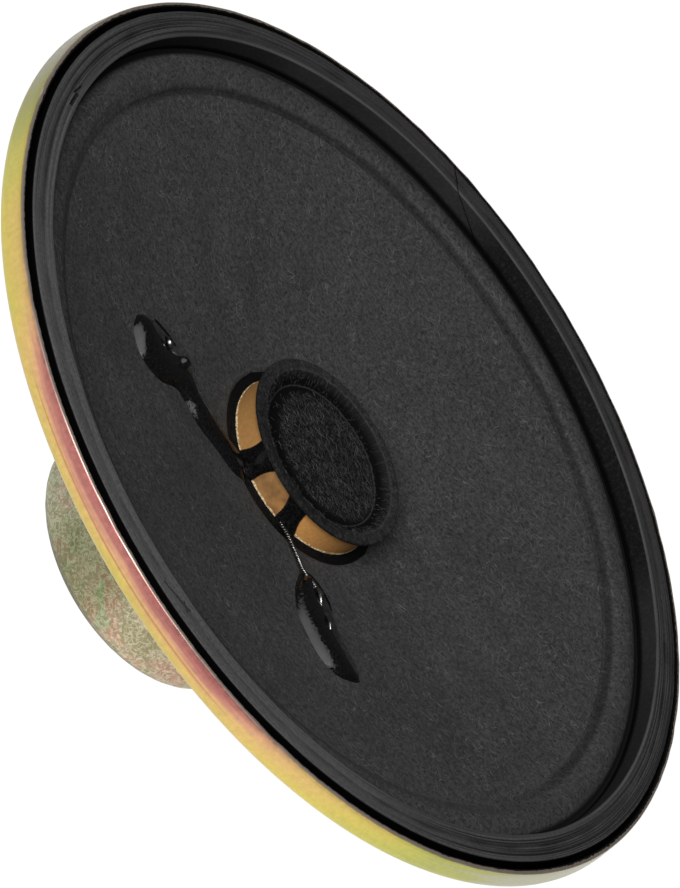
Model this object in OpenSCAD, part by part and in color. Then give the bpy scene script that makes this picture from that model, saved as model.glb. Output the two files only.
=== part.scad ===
// Miniature moving-coil loudspeaker driver
// The axis is Z, the front faces +Z and the flat back of the magnet pot lies at Z 0.
// The lead joints are on the -Y side, and so is the terminal board.

/* [Overall] */
// Height from the back of the magnet pot to the front of the gasket
overall_h = 21.8; // [20.5:0.1:25]
// Outer diameter of the basket's rim
rim_d = 66; // [64:0.5:80]

/* [Basket] */
// Thickness of the basket's sheet steel
sheet = 0.4; // [0.3:0.05:0.6]
// How far the lip stands behind the front of the gasket
lip_drop = 0.22; // [0.1:0.01:0.6]
// Inside radius of the bend between the lip and the seat
lip_bend = 0.6; // [0.4:0.05:0.8]
// Width of the flat seat inside the lip
seat_w = 3.4; // [3.2:0.1:3.8]
// Depth of the steep wall below the seat
wall_h = 2.1; // [1.6:0.1:2.6]
// Radius of the flat floor's outer edge
floor_r = 22; // [20.5:0.25:23]
// Depth of the hub, from the floor's front to the front of the hub's own bottom
hub_h = 2.4; // [2:0.1:2.6]
// Inner radius of the hub, the cup in the middle of the floor
hub_r = 12.2; // [11.6:0.1:12.6]
// Slope outwards of the hub's wall over its height
hub_draft = 0.5; // [0.2:0.1:0.8]
// Diameter of the hole in the hub for the voice coil
hub_hole_d = 15.6; // [15.2:0.1:16.2]
// Inside radius of the basket's other bends
bend = 0.9; // [0.5:0.1:1.2]
// Number of windows in the basket
window_count = 4; // [4:1:6]
// Width of the floor between the hub and the windows
window_hub_gap = 4.2; // [3.8:0.1:4.8]
// Distance of the windows inside the seat
window_seat_gap = 2.4; // [1.8:0.1:3.2]
// Width of the ribs between the windows
rib_w = 7; // [6:0.25:9]
// Radius of the windows' corners
window_corner = 1.4; // [0.8:0.1:2]

/* [Gasket] */
// Gap between the gasket and the lip
gasket_gap = 0.55; // [0.3:0.05:0.9]
// Width of the gasket ring
gasket_w = 2.05; // [1.6:0.05:2.6]
// Thickness of the gasket
gasket_t = 1.8; // [1.2:0.05:2]
// Bearing of the gasket's scarf seam, counter-clockwise from +X
seam_bearing = 110; // [0:1:359]
// Slant of the seam against the radius
seam_slant = 58; // [30:1:65]
// Width of the seam
seam_gap = 0.12; // [0.08:0.01:0.3]

/* [Cone and surround] */
// Thickness of the surround
surround_t = 0.3; // [0.2:0.05:0.4]
// Width of the surround from the lip in to where the groove shows
surround_w = 5.6; // [5.4:0.1:6]
// Width of the surround's land on the cone
surround_land = 0.7; // [0.5:0.1:0.9]
// Distance from the lip to the inner edge of the surround's flat seat
surround_seat_w = 2.8; // [2.6:0.05:3]
// Height of the surround's roll over its two edges
roll_h = 0.42; // [0.3:0.02:0.55]
// Depth of the cone's groove behind the gasket's front
cone_drop = 2.0; // [1.9:0.05:2.3]
// Height of the cone's neck over the basket's floor
neck_rise = 2.43; // [2.3:0.01:2.6]
// Thickness of the cone's paper
cone_t = 0.3; // [0.2:0.05:0.4]
// Radius at which the cone dips to its neck
neck_r = 7.5; // [7.4:0.1:8]
// Depth of the dip at the neck
neck_dip = 0.65; // [0.5:0.05:0.8]
// Height of the cone's collar on the former
collar_h = 0.8; // [0.6:0.1:1]
// Radius of the cone's bend into the dip
neck_bend = 0.4; // [0.3:0.05:0.5]
// Radius of the bend at the bottom of the dip
collar_bend = 0.35; // [0.3:0.05:0.4]
// Width of the groove at the cone's edge
groove_w = 0.4; // [0.3:0.05:0.6]
// Depth of the groove
groove_h = 0.14; // [0.1:0.01:0.2]

/* [Voice coil and cap] */
// Outer diameter of the former
former_d = 13.1; // [13:0.05:13.2]
// Wall thickness of the former
former_t = 0.15; // [0.1:0.01:0.18]
// Height of the dust cap's flange over the cone's neck
cap_rise = 2.54; // [2.3:0.02:2.8]
// Diameter of the dust cap's flange
cap_d = 14.08; // [13.9:0.02:14.6]
// Thickness of the dust cap
cap_t = 0.35; // [0.25:0.05:0.45]
// How far the edge of the cap's dish stands inside the former
dish_gap = 0.26; // [0.22:0.02:0.5]
// Depth of the dish below the flange
dish_h = 0.75; // [0.5:0.05:0.9]
// Width of the slope from the flange down to the floor of the dish
dish_slope = 0.8; // [0.6:0.05:1]
// Radius of the cushioned middle of the dish
cushion_r = 3.9; // [3:0.1:4.3]
// Height of the cushioned middle over the floor of the dish
cushion_h = 0.1; // [0.04:0.02:0.2]
// Height of the winding
winding_h = 3.4; // [3:0.1:3.8]
// Thickness of the winding
winding_t = 0.3; // [0.2:0.01:0.32]
// Length of bare former below the winding
former_tail = 0.4; // [0.3:0.1:0.6]

/* [Spider] */
// Width of the spider outside the hub
spider_w = 3; // [2.4:0.1:3.6]
// Thickness of the spider
spider_t = 0.2; // [0.15:0.01:0.3]
// Number of its corrugations
waves = 3; // [2:1:4]
// Height of each corrugation over the spider's land
wave_h = 0.4; // [0.3:0.02:0.45]
// Height of the spider's collar on the former
spider_collar = 0.7; // [0.5:0.05:0.8]

/* [Magnet] */
// Outer diameter of the magnet pot
pot_d = 20; // [19.6:0.1:21]
// Height of the pot from its back to its mouth
pot_h = 8.6; // [8.2:0.1:9]
// Wall thickness of the pot
pot_wall = 1.6; // [1.2:0.1:1.8]
// Thickness of the pot's bottom
pot_base = 1.8; // [1.5:0.1:2.2]
// Radius of the pot's drawn corner
pot_corner = 2; // [1.2:0.1:2.4]
// Thickness of the front plate
plate_t = 2; // [1.8:0.1:2.2]
// Radial width of the magnetic gap
gap_w = 1.05; // [0.98:0.01:1.15]
// Running clearance between the pole and the former
pole_gap = 0.3; // [0.25:0.01:0.35]
// Height of the pole piece
pole_h = 3; // [2.6:0.1:3.4]
// How far the magnet's side stands inside the pole's
magnet_inset = 0.3; // [0.2:0.05:0.6]
// Diameter of the stakes that hold the basket
stake_d = 1.1; // [0.9:0.05:1.3]
// Diameter of the heads of the stakes
stake_head_d = 1.7; // [1.5:0.05:1.8]
// Thickness of the heads of the stakes
stake_head_t = 0.35; // [0.25:0.05:0.5]

/* [Terminals] */
// Length of the terminal board
board_l = 15; // [14.5:0.25:16]
// Width of the terminal board
board_w = 5; // [4.6:0.1:5.2]
// Thickness of the terminal board
board_t = 0.8; // [0.6:0.05:0.9]
// Distance from the axis to the middle of the board
board_y = 17.7; // [17.4:0.1:18.2]
// Distance between the two lug rivets
lug_spacing = 10.4; // [10:0.2:11]
// How far the lugs' eyes stand past the ends of the board
eye_reach = 1.4; // [1.2:0.1:2]
// Diameter of the hole in the lugs' eyes
eye_hole_d = 1; // [0.8:0.05:1.2]
// Width of the lugs
lug_w = 2.4; // [2:0.1:2.8]
// Thickness of the lugs
lug_t = 0.3; // [0.2:0.05:0.4]
// Shaft diameter of the rivets
rivet_d = 1.3; // [1:0.1:1.5]
// Head diameter of the rivets
rivet_head_d = 2.1; // [1.9:0.1:2.2]
// Thickness of the rivets' heads
rivet_head_t = 0.3; // [0.2:0.05:0.4]

/* [Leads and glue] */
// Diameter of the coil's lead wires
lead_d = 0.26; // [0.2:0.01:0.3]
// Diameter of the flexible tinsel leads
tinsel_d = 0.6; // [0.5:0.05:0.7]
// Diameter of the hole in the cone at each lead joint
joint_hole_d = 1.1; // [1:0.05:1.2]
// Diameter of the solder dome on each lead joint
joint_d = 1.5; // [1.4:0.05:1.6]
// How far each joint's solder reaches behind the cone
plug_reach = 0.2; // [0.1:0.02:0.3]
// Height of the glue beads over the cone
bead_h = 0.85; // [0.7:0.05:1.1]
// Height of the thinner glue along the left wire
bead_tail_h = 0.55; // [0.5:0.05:0.8]
// Thickness of the glue runs on the former
run_t = 0.28; // [0.2:0.02:0.35]

/* [Hidden] */

// Round shapes
$fn = 96;
// Segments in a bend of a pressed sheet, and in one wave of the spider
bend_steps = 6;
wave_steps = 8;
// Overlap of a cut past the face that it opens
cut = 0.5;
// Thickness of the glue between two pieces
glue_line = 0.02;
// Radius of the points that a glue run's outline is drawn between
point_r = 0.01;
// Small round pieces
small_fn = 32;

// Heights of the rim, from the front back
front_z = overall_h;
seat_z = front_z - gasket_t - surround_t;
lip_z = front_z - lip_drop;

// Heights of the magnet, from the back forward
plate_z = pot_h;
hub_z = plate_z + plate_t;
hub_front_z = hub_z + sheet;
floor_z = hub_front_z + hub_h;
floor_back_z = floor_z - sheet;

// Radii of the rim
rim_r = rim_d / 2;
lip_r = rim_r - sheet;
seat_in = lip_r - seat_w;
gasket_r = lip_r - gasket_gap;
hole_r = hub_hole_d / 2;
window_in = hub_r + window_hub_gap;
window_out = seat_in - window_seat_gap;
// Slope inwards of the steep wall over its depth
wall_draft = 0.3;

// Cone
surround_in = lip_r - surround_w;
surround_foot = lip_r - surround_seat_w;
cone_edge = surround_in + surround_land;
neck_z = floor_z + neck_rise;
cone_angle = atan((front_z - cone_drop - neck_z) / (surround_in - neck_r));
function cone_z(r) = neck_z + (r - neck_r) * tan(cone_angle);

// Voice coil
former_r = former_d / 2;
former_in = former_r - former_t;
cap_z = neck_z + cap_rise;
former_top = cap_z - cap_t;
coil_z = plate_z + plate_t / 2;
winding_z = coil_z - winding_h / 2;
winding_r = former_r + winding_t;
former_z = winding_z - former_tail;

// Magnet
pot_r = pot_d / 2;
cavity_r = pot_r - pot_wall;
pole_r = former_in - pole_gap;
bore_r = pole_r + gap_w;
magnet_r = pole_r - magnet_inset;
pole_z = hub_z - pole_h;
// The plate's step that centres it in the pot's mouth, and its clearance there
spigot_h = 0.5;
spigot_fit = 0.02;
stake_count = 4;
first_stake = 45;
// Middle of the front plate's bare ring, under the hub's bottom
stake_ring = (hole_r + pot_r) / 2;

// Spider
spider_r = hub_r + spider_w;
// Width of the spider's land that the hub's round edge takes
spider_overhang = 0.7;
spider_land = hub_r + spider_overhang;
// Width of the flat ring at the foot of the spider's collar
spider_flat = 0.8;
spider_root = former_r + spider_flat;

// Leads: the joints, the beads and the wires, as (x, y) on the cone, left then right
joint_left = [-11.0, -9.1];
joint_right = [8.0, -9.9];
// Where the wires bend on their way to the joints
bends_left = [[-3.2, -7.3], [-5.6, -8.2], [-8.4, -8.9]];
bends_right = [[3.2, -6.9], [4.3, -7.4], [5.4, -8.3], [6.6, -9.1]];
// Each bead is a chain of drops: x, y and radius, and the first ones are the blob
drops_left = [
    [-12.7, -11.0, 2.0], [-11.2, -10.4, 2.9], [-10.2, -9.3, 2.0],
    [-8.1, -9.0, 1.15], [-6.4, -8.6, 1.05], [-4.9, -8.2, 1.1], [-3.5, -7.6, 1.2]
];
drops_right = [
    [12.3, -12.0, 1.7], [10.7, -11.3, 2.7], [9.2, -10.3, 2.8], [7.5, -9.0, 2.0]
];
// The glue runs on the former: first and last bearing at the top, then at the foot
run_left = [242, 263, 241, 259];
run_right = [279, 294, 286, 302];
// Where each wire comes down the former, as bearings
wire_bearing_left = 252;
wire_bearing_right = 291;
wire_clear = 0.07;

// Colours
paper = [0.22, 0.22, 0.22];
card = [0.27, 0.27, 0.28];
glue = [0.05, 0.05, 0.05];
steel = [0.62, 0.60, 0.52];
chromate = [0.80, 0.68, 0.42];
kraft = [0.76, 0.60, 0.34];
copper = [0.72, 0.42, 0.24];
silver = [0.78, 0.78, 0.80];
laminate = [0.50, 0.33, 0.16];
brass = [0.75, 0.62, 0.32];

// Profiles of pressed sheet

function unit(v) = v / norm(v);
function left_of(v) = [-v[1], v[0]];
function turn(a) = a > 180 ? a - 360 : a < -180 ? a + 360 : a;

// Points of the bend of radius r at b, on the way from a to c
function bend_points(a, b, c, r) =
    let (
        back = unit(a - b),
        on = unit(c - b),
        half = acos(back * on) / 2,
        centre = b + unit(back + on) * r / sin(half),
        first = b + back * r / tan(half) - centre,
        last = b + on * r / tan(half) - centre,
        start = atan2(first[1], first[0]),
        sweep = turn(atan2(last[1], last[0]) - start)
    )
    [
        for (i = [0 : bend_steps])
            let (bearing = start + sweep * i / bend_steps)
            centre + r * [cos(bearing), sin(bearing)]
    ];

// A path of [r, z] corners with bend radii, rounded; a radius of 0 keeps the corner
function rounded(path, radii) = [
    for (i = [0 : len(path) - 1])
        for (p = i > 0 && i < len(path) - 1 && radii[i] > 0
                ? bend_points(path[i - 1], path[i], path[i + 1], radii[i])
                : [path[i]]) p
];

// The path moved sideways by d, to its left
function beside(path, d) = [
    for (i = [0 : len(path) - 1])
        let (
            before = left_of(unit(path[max(i, 1)] - path[max(i, 1) - 1])),
            after = left_of(unit(path[min(i, len(path) - 2) + 1] - path[min(i, len(path) - 2)]))
        )
        path[i] + d * (before + after) / (1 + before * after)
];

function flipped(list) = [for (i = [len(list) - 1 : -1 : 0]) list[i]];

// A ring of sheet whose front follows the path from outside in, and whose back is t behind
module pressed(path, t) {
    rotate_extrude() polygon(concat(path, flipped(beside(path, t))));
}

module ring(r_out, r_in, z, h) {
    translate([0, 0, z]) difference() {
        cylinder(r = r_out, h = h);
        translate([0, 0, -cut]) cylinder(r = r_in, h = h + 2 * cut);
    }
}

module disc(r, z, h) {
    translate([0, 0, z]) cylinder(r = r, h = h);
}

// A tube of 2 * r = d along the route, with flat ends; the route never runs square to its own plan
module swept(route, d, sides) {
    last = len(route) - 1;
    plan = route[last] - route[0];
    aside = [-plan[1], plan[0], 0];
    function along(i) = route[min(i + 1, last)] - route[max(i - 1, 0)];
    function across(i) = unit(cross(along(i), aside));
    function upward(i) = unit(cross(across(i), along(i)));
    points = [
        for (i = [0 : last], k = [0 : sides - 1])
            route[i] + d / 2 * (cos(360 * k / sides) * across(i) + sin(360 * k / sides) * upward(i))
    ];
    walls = [
        for (i = [0 : last - 1], k = [0 : sides - 1], half = [0, 1])
            let (a = i * sides + k, b = i * sides + (k + 1) % sides)
            half == 0 ? [a, b, b + sides] : [a, b + sides, a + sides]
    ];
    ends = [
        for (k = [1 : sides - 2], end = [0, 1])
            end == 0 ? [0, k + 1, k] : [last * sides, last * sides + k, last * sides + k + 1]
    ];
    polyhedron(points, concat(walls, ends));
}

function around(r, bearing, z) = [r * cos(bearing), r * sin(bearing), z];
// The cone's front normal at p, and a point at a height up along it
function cone_normal(p) = around(-sin(cone_angle), atan2(p[1], p[0]), cos(cone_angle));
function on_cone(p, up) = [p[0], p[1], cone_z(norm([p[0], p[1]]))] + up * cone_normal(p);

module square_to_cone(p, up) {
    translate(on_cone(p, up)) rotate([0, -cone_angle, atan2(p[1], p[0])]) children();
}

// Basket

basket_path = rounded(
    [
        [lip_r, lip_z], [lip_r, seat_z], [seat_in, seat_z], [seat_in - wall_draft, seat_z - wall_h],
        [floor_r, floor_z], [hub_r, floor_z], [hub_r - hub_draft, hub_front_z], [hole_r, hub_front_z]
    ],
    [0, lip_bend, bend, bend, bend, bend, bend, 0]
);

function arc(centre, r, from, to, steps) = [
    for (i = [0 : steps])
        let (bearing = from + (to - from) * i / steps)
        centre + r * [cos(bearing), sin(bearing)]
];

// One window's outline, from the rib at bearing 0 to the next: sides parallel to the ribs, round corners
module window_outline() {
    whole = 360 / window_count;
    side = rib_w / 2 + window_corner;
    far = window_out - window_corner;
    near = window_in + window_corner;
    far_bearing = asin(side / far);
    near_bearing = asin(side / near);
    axis = [0, 0];
    function corner(r, bearing, from, to) =
        arc(r * [cos(bearing), sin(bearing)], window_corner, from, to, bend_steps);
    polygon(concat(
        arc(axis, window_out, far_bearing, whole - far_bearing, 2 * bend_steps),
        corner(far, whole - far_bearing, whole - far_bearing, whole + 90),
        corner(near, whole - near_bearing, whole + 90, whole + 180 - near_bearing),
        arc(axis, window_in, whole - near_bearing, near_bearing, 2 * bend_steps),
        corner(near, near_bearing, 180 + near_bearing, 270),
        corner(far, far_bearing, 270, 360 + far_bearing)
    ));
}

module stake_places() {
    for (i = [0 : stake_count - 1]) {
        rotate([0, 0, first_stake + i * 360 / stake_count]) translate([stake_ring, 0, 0]) children();
    }
}

module basket() {
    color(chromate) difference() {
        pressed(basket_path, sheet);
        for (i = [0 : window_count - 1]) {
            rotate([0, 0, i * 360 / window_count - 90]) translate([0, 0, floor_back_z - cut])
                linear_extrude(seat_z - sheet - floor_back_z) window_outline();
        }
        stake_places() disc(stake_d / 2, hub_z - cut, sheet + 2 * cut);
        translate([0, -board_y, 0]) disc(rivet_d / 2, floor_back_z - cut, sheet + 2 * cut);
    }
}

// Gasket

module gasket_ring() {
    color(card) difference() {
        ring(gasket_r, gasket_r - gasket_w, front_z - gasket_t, gasket_t);
        rotate([0, 0, seam_bearing]) translate([gasket_r - gasket_w / 2, 0, front_z - gasket_t / 2])
            rotate([seam_slant / 2, 0, seam_slant])
                cube([4 * gasket_w, seam_gap, 4 * gasket_t], center = true);
    }
}

// Cone and surround

groove_out = surround_in;
groove_in = surround_in - groove_w;
cone_path = concat(
    [
        [cone_edge, cone_z(cone_edge)],
        [groove_out, cone_z(groove_out)],
        [groove_out - groove_w / 4, cone_z(groove_out) - groove_h],
        [groove_in + groove_w / 4, cone_z(groove_in) - groove_h],
        [groove_in, cone_z(groove_in)]
    ],
    rounded(
        [
            [groove_in - groove_w, cone_z(groove_in - groove_w)], [neck_r, neck_z],
            [former_r, neck_z - neck_dip], [former_r, neck_z - neck_dip - collar_h]
        ],
        [0, neck_bend, collar_bend, 0]
    )
);

surround_edge_z = front_z - gasket_t;
// Height of the surround's front over the cone's, where the two are glued
land_up = (surround_t + glue_line) / cos(cone_angle);
// A bow of height h between two points of the profile
function bow(a, b, h, steps) = [
    for (i = [1 : steps - 1])
        a + (b - a) * i / steps + [0, h * sin(180 * i / steps)]
];
surround_out = lip_r - lip_bend;
roll_out = [surround_foot, surround_edge_z];
roll_in = [cone_edge, cone_z(cone_edge) + land_up];
surround_path = concat(
    [[surround_out, surround_edge_z], roll_out],
    bow(roll_out, roll_in, roll_h, 2 * bend_steps),
    [roll_in, [surround_in, cone_z(surround_in) + land_up]]
);

module cone() {
    color(paper) difference() {
        pressed(cone_path, cone_t);
        for (p = [joint_left, joint_right]) {
            square_to_cone(p, -2 * cone_t) cylinder(d = joint_hole_d, h = 4 * cone_t, $fn = small_fn);
        }
        for (b = [wire_bearing_left, wire_bearing_right]) {
            wire_way(b);
        }
    }
}

module surround() {
    color(card) pressed(surround_path, surround_t);
}

// Dust cap, former and winding

flange_in = former_in - dish_gap;
dish_r = flange_in - dish_slope;
dish_z = cap_z - dish_h;
// Width of the cushion's slope, and the bends at the edge and at the floor of the dish
cushion_slope = 0.4;
edge_bend = cap_t + 0.05;
dish_bend = 0.15;
cap_path = rounded(
    [
        [cap_d / 2, cap_z], [flange_in, cap_z], [dish_r, dish_z], [cushion_r + cushion_slope, dish_z],
        [cushion_r, dish_z + cushion_h], [0, dish_z + cushion_h]
    ],
    [0, edge_bend, dish_bend, 0, 0, 0]
);

module dust_cap() {
    color(card) pressed(cap_path, cap_t);
}

module voice_coil_former() {
    color(kraft) ring(former_r, former_in, former_z, former_top - former_z);
}

module voice_coil_winding() {
    color(copper) ring(winding_r, former_r, winding_z, winding_h);
}

// Spider

spider_front = floor_z + spider_t;
spider_path = concat(
    [[spider_r, spider_front], [spider_land, spider_front]],
    [
        for (i = [1 : waves * wave_steps])
            let (s = i / (waves * wave_steps))
            [
                spider_land + (spider_root - spider_land) * s,
                spider_front + wave_h * sin(360 * waves * s)
            ]
    ],
    [[former_r + spider_t, spider_front], [former_r + spider_t, spider_front + spider_collar]]
);

module spider() {
    color(kraft) difference() {
        pressed(spider_path, spider_t);
        for (b = [wire_bearing_left, wire_bearing_right]) {
            wire_way(b);
        }
    }
}

// Leads

// How high each wire stands over the neck where it leaves the former
wire_lift = 0.4;
wire_sides = 8;

// The wire runs up the former from the winding, over the neck glue and out to its joint
function wire_route(bearing, joint, bends) = concat(
    [
        around(former_r + lead_d / 2 + glue_line, bearing, winding_z + winding_h),
        around(former_r + lead_d / 2 + glue_line, bearing, neck_z + wire_lift),
        around(former_r + lead_d, bearing, neck_z + wire_lift + lead_d)
    ],
    [for (p = bends) on_cone(p, lead_d / 2 + glue_line)],
    [on_cone(joint, lead_d / 2 + glue_line)]
);
route_left = wire_route(wire_bearing_left, joint_left, bends_left);
route_right = wire_route(wire_bearing_right, joint_right, bends_right);

module wire_left() {
    swept(route_left, lead_d, wire_sides);
}

module wire_right() {
    swept(route_right, lead_d, wire_sides);
}

module wire_way(bearing) {
    translate(around(former_r + lead_d / 2, bearing, winding_z + winding_h))
        cylinder(d = lead_d + 2 * wire_clear, h = neck_z + 2 * cut - winding_z - winding_h, $fn = small_fn);
}

// A solder joint: a plug through the cone and a low dome on it
module lead_joint(p) {
    square_to_cone(p, -cone_t - plug_reach)
        cylinder(d = joint_hole_d, h = cone_t + 2 * plug_reach, $fn = small_fn);
    square_to_cone(p, glue_line) intersection() {
        sphere(d = joint_d, $fn = small_fn);
        cylinder(d = joint_d, h = joint_d / 2, $fn = small_fn);
    }
}

module coil_lead_left() {
    color(copper) difference() {
        wire_left();
        lead_joint(joint_left);
    }
}

module coil_lead_right() {
    color(silver) difference() {
        wire_right();
        lead_joint(joint_right);
    }
}

module lead_joint_left() {
    color(silver) lead_joint(joint_left);
}

module lead_joint_right() {
    color(silver) lead_joint(joint_right);
}

// Glue

// The glue stands a little over the cone's edge where it fills the neck
fill_up = 0.05;
fill_z = neck_z + fill_up;
// How far the fill's surface sags between the former and the cone
fill_sag = 0.16;
// How thin the fill runs out at its edges
fill_edge = 0.02;

// What lies in front of the cone and outside the former
module over_cone() {
    rotate_extrude() polygon([
        [former_r, fill_z], [neck_r, neck_z], [groove_in, cone_z(groove_in)],
        [groove_in, front_z], [former_r, front_z]
    ]);
}

// A drop of glue with its foot on the cone
module drop(d, h) {
    square_to_cone(d, 0) scale([1, 1, h / d[2]]) sphere(r = d[2], $fn = 24);
}

// The first blob_count drops make one blob, and each later one is joined to the one before it
module bead(drops, blob_count) {
    intersection() {
        union() {
            hull() {
                for (i = [0 : blob_count - 1]) drop(drops[i], bead_h);
            }
            if (len(drops) > blob_count) {
                for (i = [blob_count - 1 : len(drops) - 2]) {
                    hull() {
                        drop(drops[i], i < blob_count ? bead_h : bead_tail_h);
                        drop(drops[i + 1], bead_tail_h);
                    }
                }
            }
        }
        over_cone();
    }
}

module glue_bead_left() {
    color(glue) difference() {
        bead(drops_left, 3);
        wire_left();
        lead_joint(joint_left);
        neck_glue();
        former_runs();
    }
}

module glue_bead_right() {
    color(glue) difference() {
        bead(drops_right, 4);
        wire_right();
        lead_joint(joint_right);
    }
}

// The glue that fills the dip between the cone and the former
neck_path = concat(
    [[former_r, neck_z - neck_dip + fill_edge]],
    [
        for (i = [0 : bend_steps - 1])
            [
                former_r + (neck_r - former_r) * i / bend_steps,
                fill_z - fill_sag * sin(180 * i / bend_steps)
            ]
    ],
    [[neck_r - fill_edge, neck_z - fill_edge]]
);

module neck_glue() {
    difference() {
        rotate_extrude() polygon(neck_path);
        pressed(cone_path, cone_t);
        for (b = [wire_bearing_left, wire_bearing_right]) wire_way(b);
    }
}

module neck_glue_ring() {
    color(glue) neck_glue();
}

// How far the runs' feet spread over the neck glue, left then right
foot_left = 0.9;
foot_right = 0.8;
// Heights over the neck glue at which a run is twice as thick and then as thick as at its top
foot_low = 0.35;
foot_high = 0.9;

// One glue run from the cap's flange to the neck
module glue_run(bearings, foot) {
    intersection() {
        rotate_extrude() polygon([
            [former_r, fill_z], [former_r + foot, fill_z], [former_r + 2 * run_t, fill_z + foot_low],
            [former_r + run_t, fill_z + foot_high], [former_r + run_t, former_top], [former_r, former_top]
        ]);
        hull() {
            for (i = [0, 1], r = [former_r - cut, former_r + foot + cut]) {
                translate(around(r, bearings[i], former_top)) sphere(r = point_r, $fn = 8);
                translate(around(r, bearings[i + 2], fill_z)) sphere(r = point_r, $fn = 8);
            }
        }
    }
}

module former_runs() {
    glue_run(run_left, foot_left);
    glue_run(run_right, foot_right);
}

module former_glue() {
    color(glue) difference() {
        former_runs();
        wire_left();
        wire_right();
    }
}

// Magnet

module magnet_pot() {
    color(steel) rotate_extrude() difference() {
        union() {
            square([pot_r - pot_corner, pot_h]);
            translate([0, pot_corner]) square([pot_r, pot_h - pot_corner]);
            translate([pot_r - pot_corner, pot_corner]) circle(r = pot_corner);
        }
        translate([0, pot_base]) square([cavity_r, pot_h]);
    }
}

module magnet() {
    color(card) disc(magnet_r, pot_base, pole_z - pot_base);
}

module pole_piece() {
    color(steel) disc(pole_r, pole_z, pole_h);
}

module front_plate() {
    color(steel) {
        difference() {
            union() {
                disc(pot_r, plate_z, plate_t);
                disc(cavity_r - spigot_fit, plate_z - spigot_h, 2 * spigot_h);
                stake_places() disc(stake_d / 2, hub_z - cut, cut + sheet);
                stake_places() disc(stake_head_d / 2, hub_front_z, stake_head_t);
            }
            disc(bore_r, plate_z - spigot_h - cut, plate_t + spigot_h + 2 * cut);
        }
    }
}

// Terminals

board_z = floor_back_z - board_t;
lug_z = board_z - lug_t;

module terminal_board() {
    color(laminate) difference() {
        translate([-board_l / 2, -board_y - board_w / 2, board_z]) cube([board_l, board_w, board_t]);
        translate([0, -board_y, 0]) disc(rivet_d / 2, board_z - cut, board_t + 2 * cut);
        for (side = [-1, 1]) {
            translate([side * lug_spacing / 2, -board_y, 0])
                disc(rivet_d / 2, board_z - cut, board_t + 2 * cut);
        }
    }
}

// Where the flexible lead is soldered to each lug
eye_x = board_l / 2 + eye_reach;

// A flat lug under the board, with its eye past the board's end
module solder_lug(side) {
    color(silver) translate([0, -board_y, lug_z]) difference() {
        union() {
            translate([side * lug_spacing / 2, 0, 0]) cylinder(d = lug_w, h = lug_t);
            translate([side * (lug_spacing / 2 + eye_x) / 2, 0, lug_t / 2])
                cube([eye_x - lug_spacing / 2, lug_w, lug_t], center = true);
            translate([side * eye_x, 0, 0]) cylinder(d = lug_w, h = lug_t);
        }
        translate([side * lug_spacing / 2, 0, -cut]) cylinder(d = rivet_d, h = lug_t + 2 * cut);
        translate([side * eye_x, 0, -cut]) cylinder(d = eye_hole_d, h = lug_t + 2 * cut, $fn = small_fn);
    }
}

module solder_lug_left() {
    solder_lug(-1);
}

module solder_lug_right() {
    solder_lug(1);
}

module rivet(z_low, z_high) {
    disc(rivet_d / 2, z_low, z_high - z_low);
    disc(rivet_head_d / 2, z_low - rivet_head_t, rivet_head_t);
    disc(rivet_head_d / 2, z_high, rivet_head_t);
}

module lug_rivets() {
    color(brass) for (side = [-1, 1]) {
        translate([side * lug_spacing / 2, -board_y, 0]) rivet(lug_z, floor_back_z);
    }
}

module board_rivet() {
    color(brass) translate([0, -board_y, 0]) rivet(board_z, floor_z);
}

// A solder mound on each lug's eye, with the lead's end in it
solder_r = 0.95;

module lug_solder() {
    color(silver) for (side = [-1, 1]) {
        translate([side * eye_x, -board_y, lug_z + lug_t]) difference() {
            union() {
                intersection() {
                    sphere(r = solder_r, $fn = small_fn);
                    cylinder(r = solder_r, h = solder_r, $fn = small_fn);
                }
                translate([0, 0, -lug_t]) cylinder(d = eye_hole_d, h = 2 * lug_t, $fn = small_fn);
            }
            cylinder(d = tinsel_d, h = 2 * solder_r, $fn = small_fn);
        }
    }
}

// A curve that leaves p[0] towards p[1] and reaches p[3] from p[2]
function curve(p, steps) = [
    for (i = [0 : steps])
        let (t = i / steps, u = 1 - t)
        u * u * u * p[0] + 3 * u * u * t * p[1] + 3 * u * t * t * p[2] + t * t * t * p[3]
];

// Straight lengths of the flexible leads at the joint and over the lug, and the pull of their bends
lead_stub = 0.3;
lead_drop = 1.6;
lead_pull = 1.8;

// The flexible lead leaves its joint behind the cone and comes down on its lug from above
function tinsel_route(joint, side) =
    let (
        start = -cone_t - plug_reach,
        lug = [side * eye_x, -board_y, lug_z + lug_t],
        stub = on_cone(joint, start - lead_stub),
        pull = on_cone(joint, start - lead_stub - lead_pull),
        above = lug + [0, 0, lead_drop],
        over = lug + [0, tinsel_d / 2, lead_drop + lead_pull]
    )
    concat([on_cone(joint, start)], curve([stub, pull, over, above], 10), [lug]);

module tinsel_lead_left() {
    color(copper) swept(tinsel_route(joint_left, -1), tinsel_d, wire_sides);
}

module tinsel_lead_right() {
    color(copper) swept(tinsel_route(joint_right, 1), tinsel_d, wire_sides);
}

basket();
gasket_ring();
surround();
cone();
dust_cap();
voice_coil_former();
voice_coil_winding();
spider();
coil_lead_left();
coil_lead_right();
lead_joint_left();
lead_joint_right();
neck_glue_ring();
former_glue();
glue_bead_left();
glue_bead_right();
magnet_pot();
magnet();
pole_piece();
front_plate();
terminal_board();
solder_lug_left();
solder_lug_right();
lug_rivets();
board_rivet();
tinsel_lead_left();
tinsel_lead_right();
lug_solder();
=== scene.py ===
import math

import bmesh
import bpy
import numpy as np
from mathutils import Matrix, Vector


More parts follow.
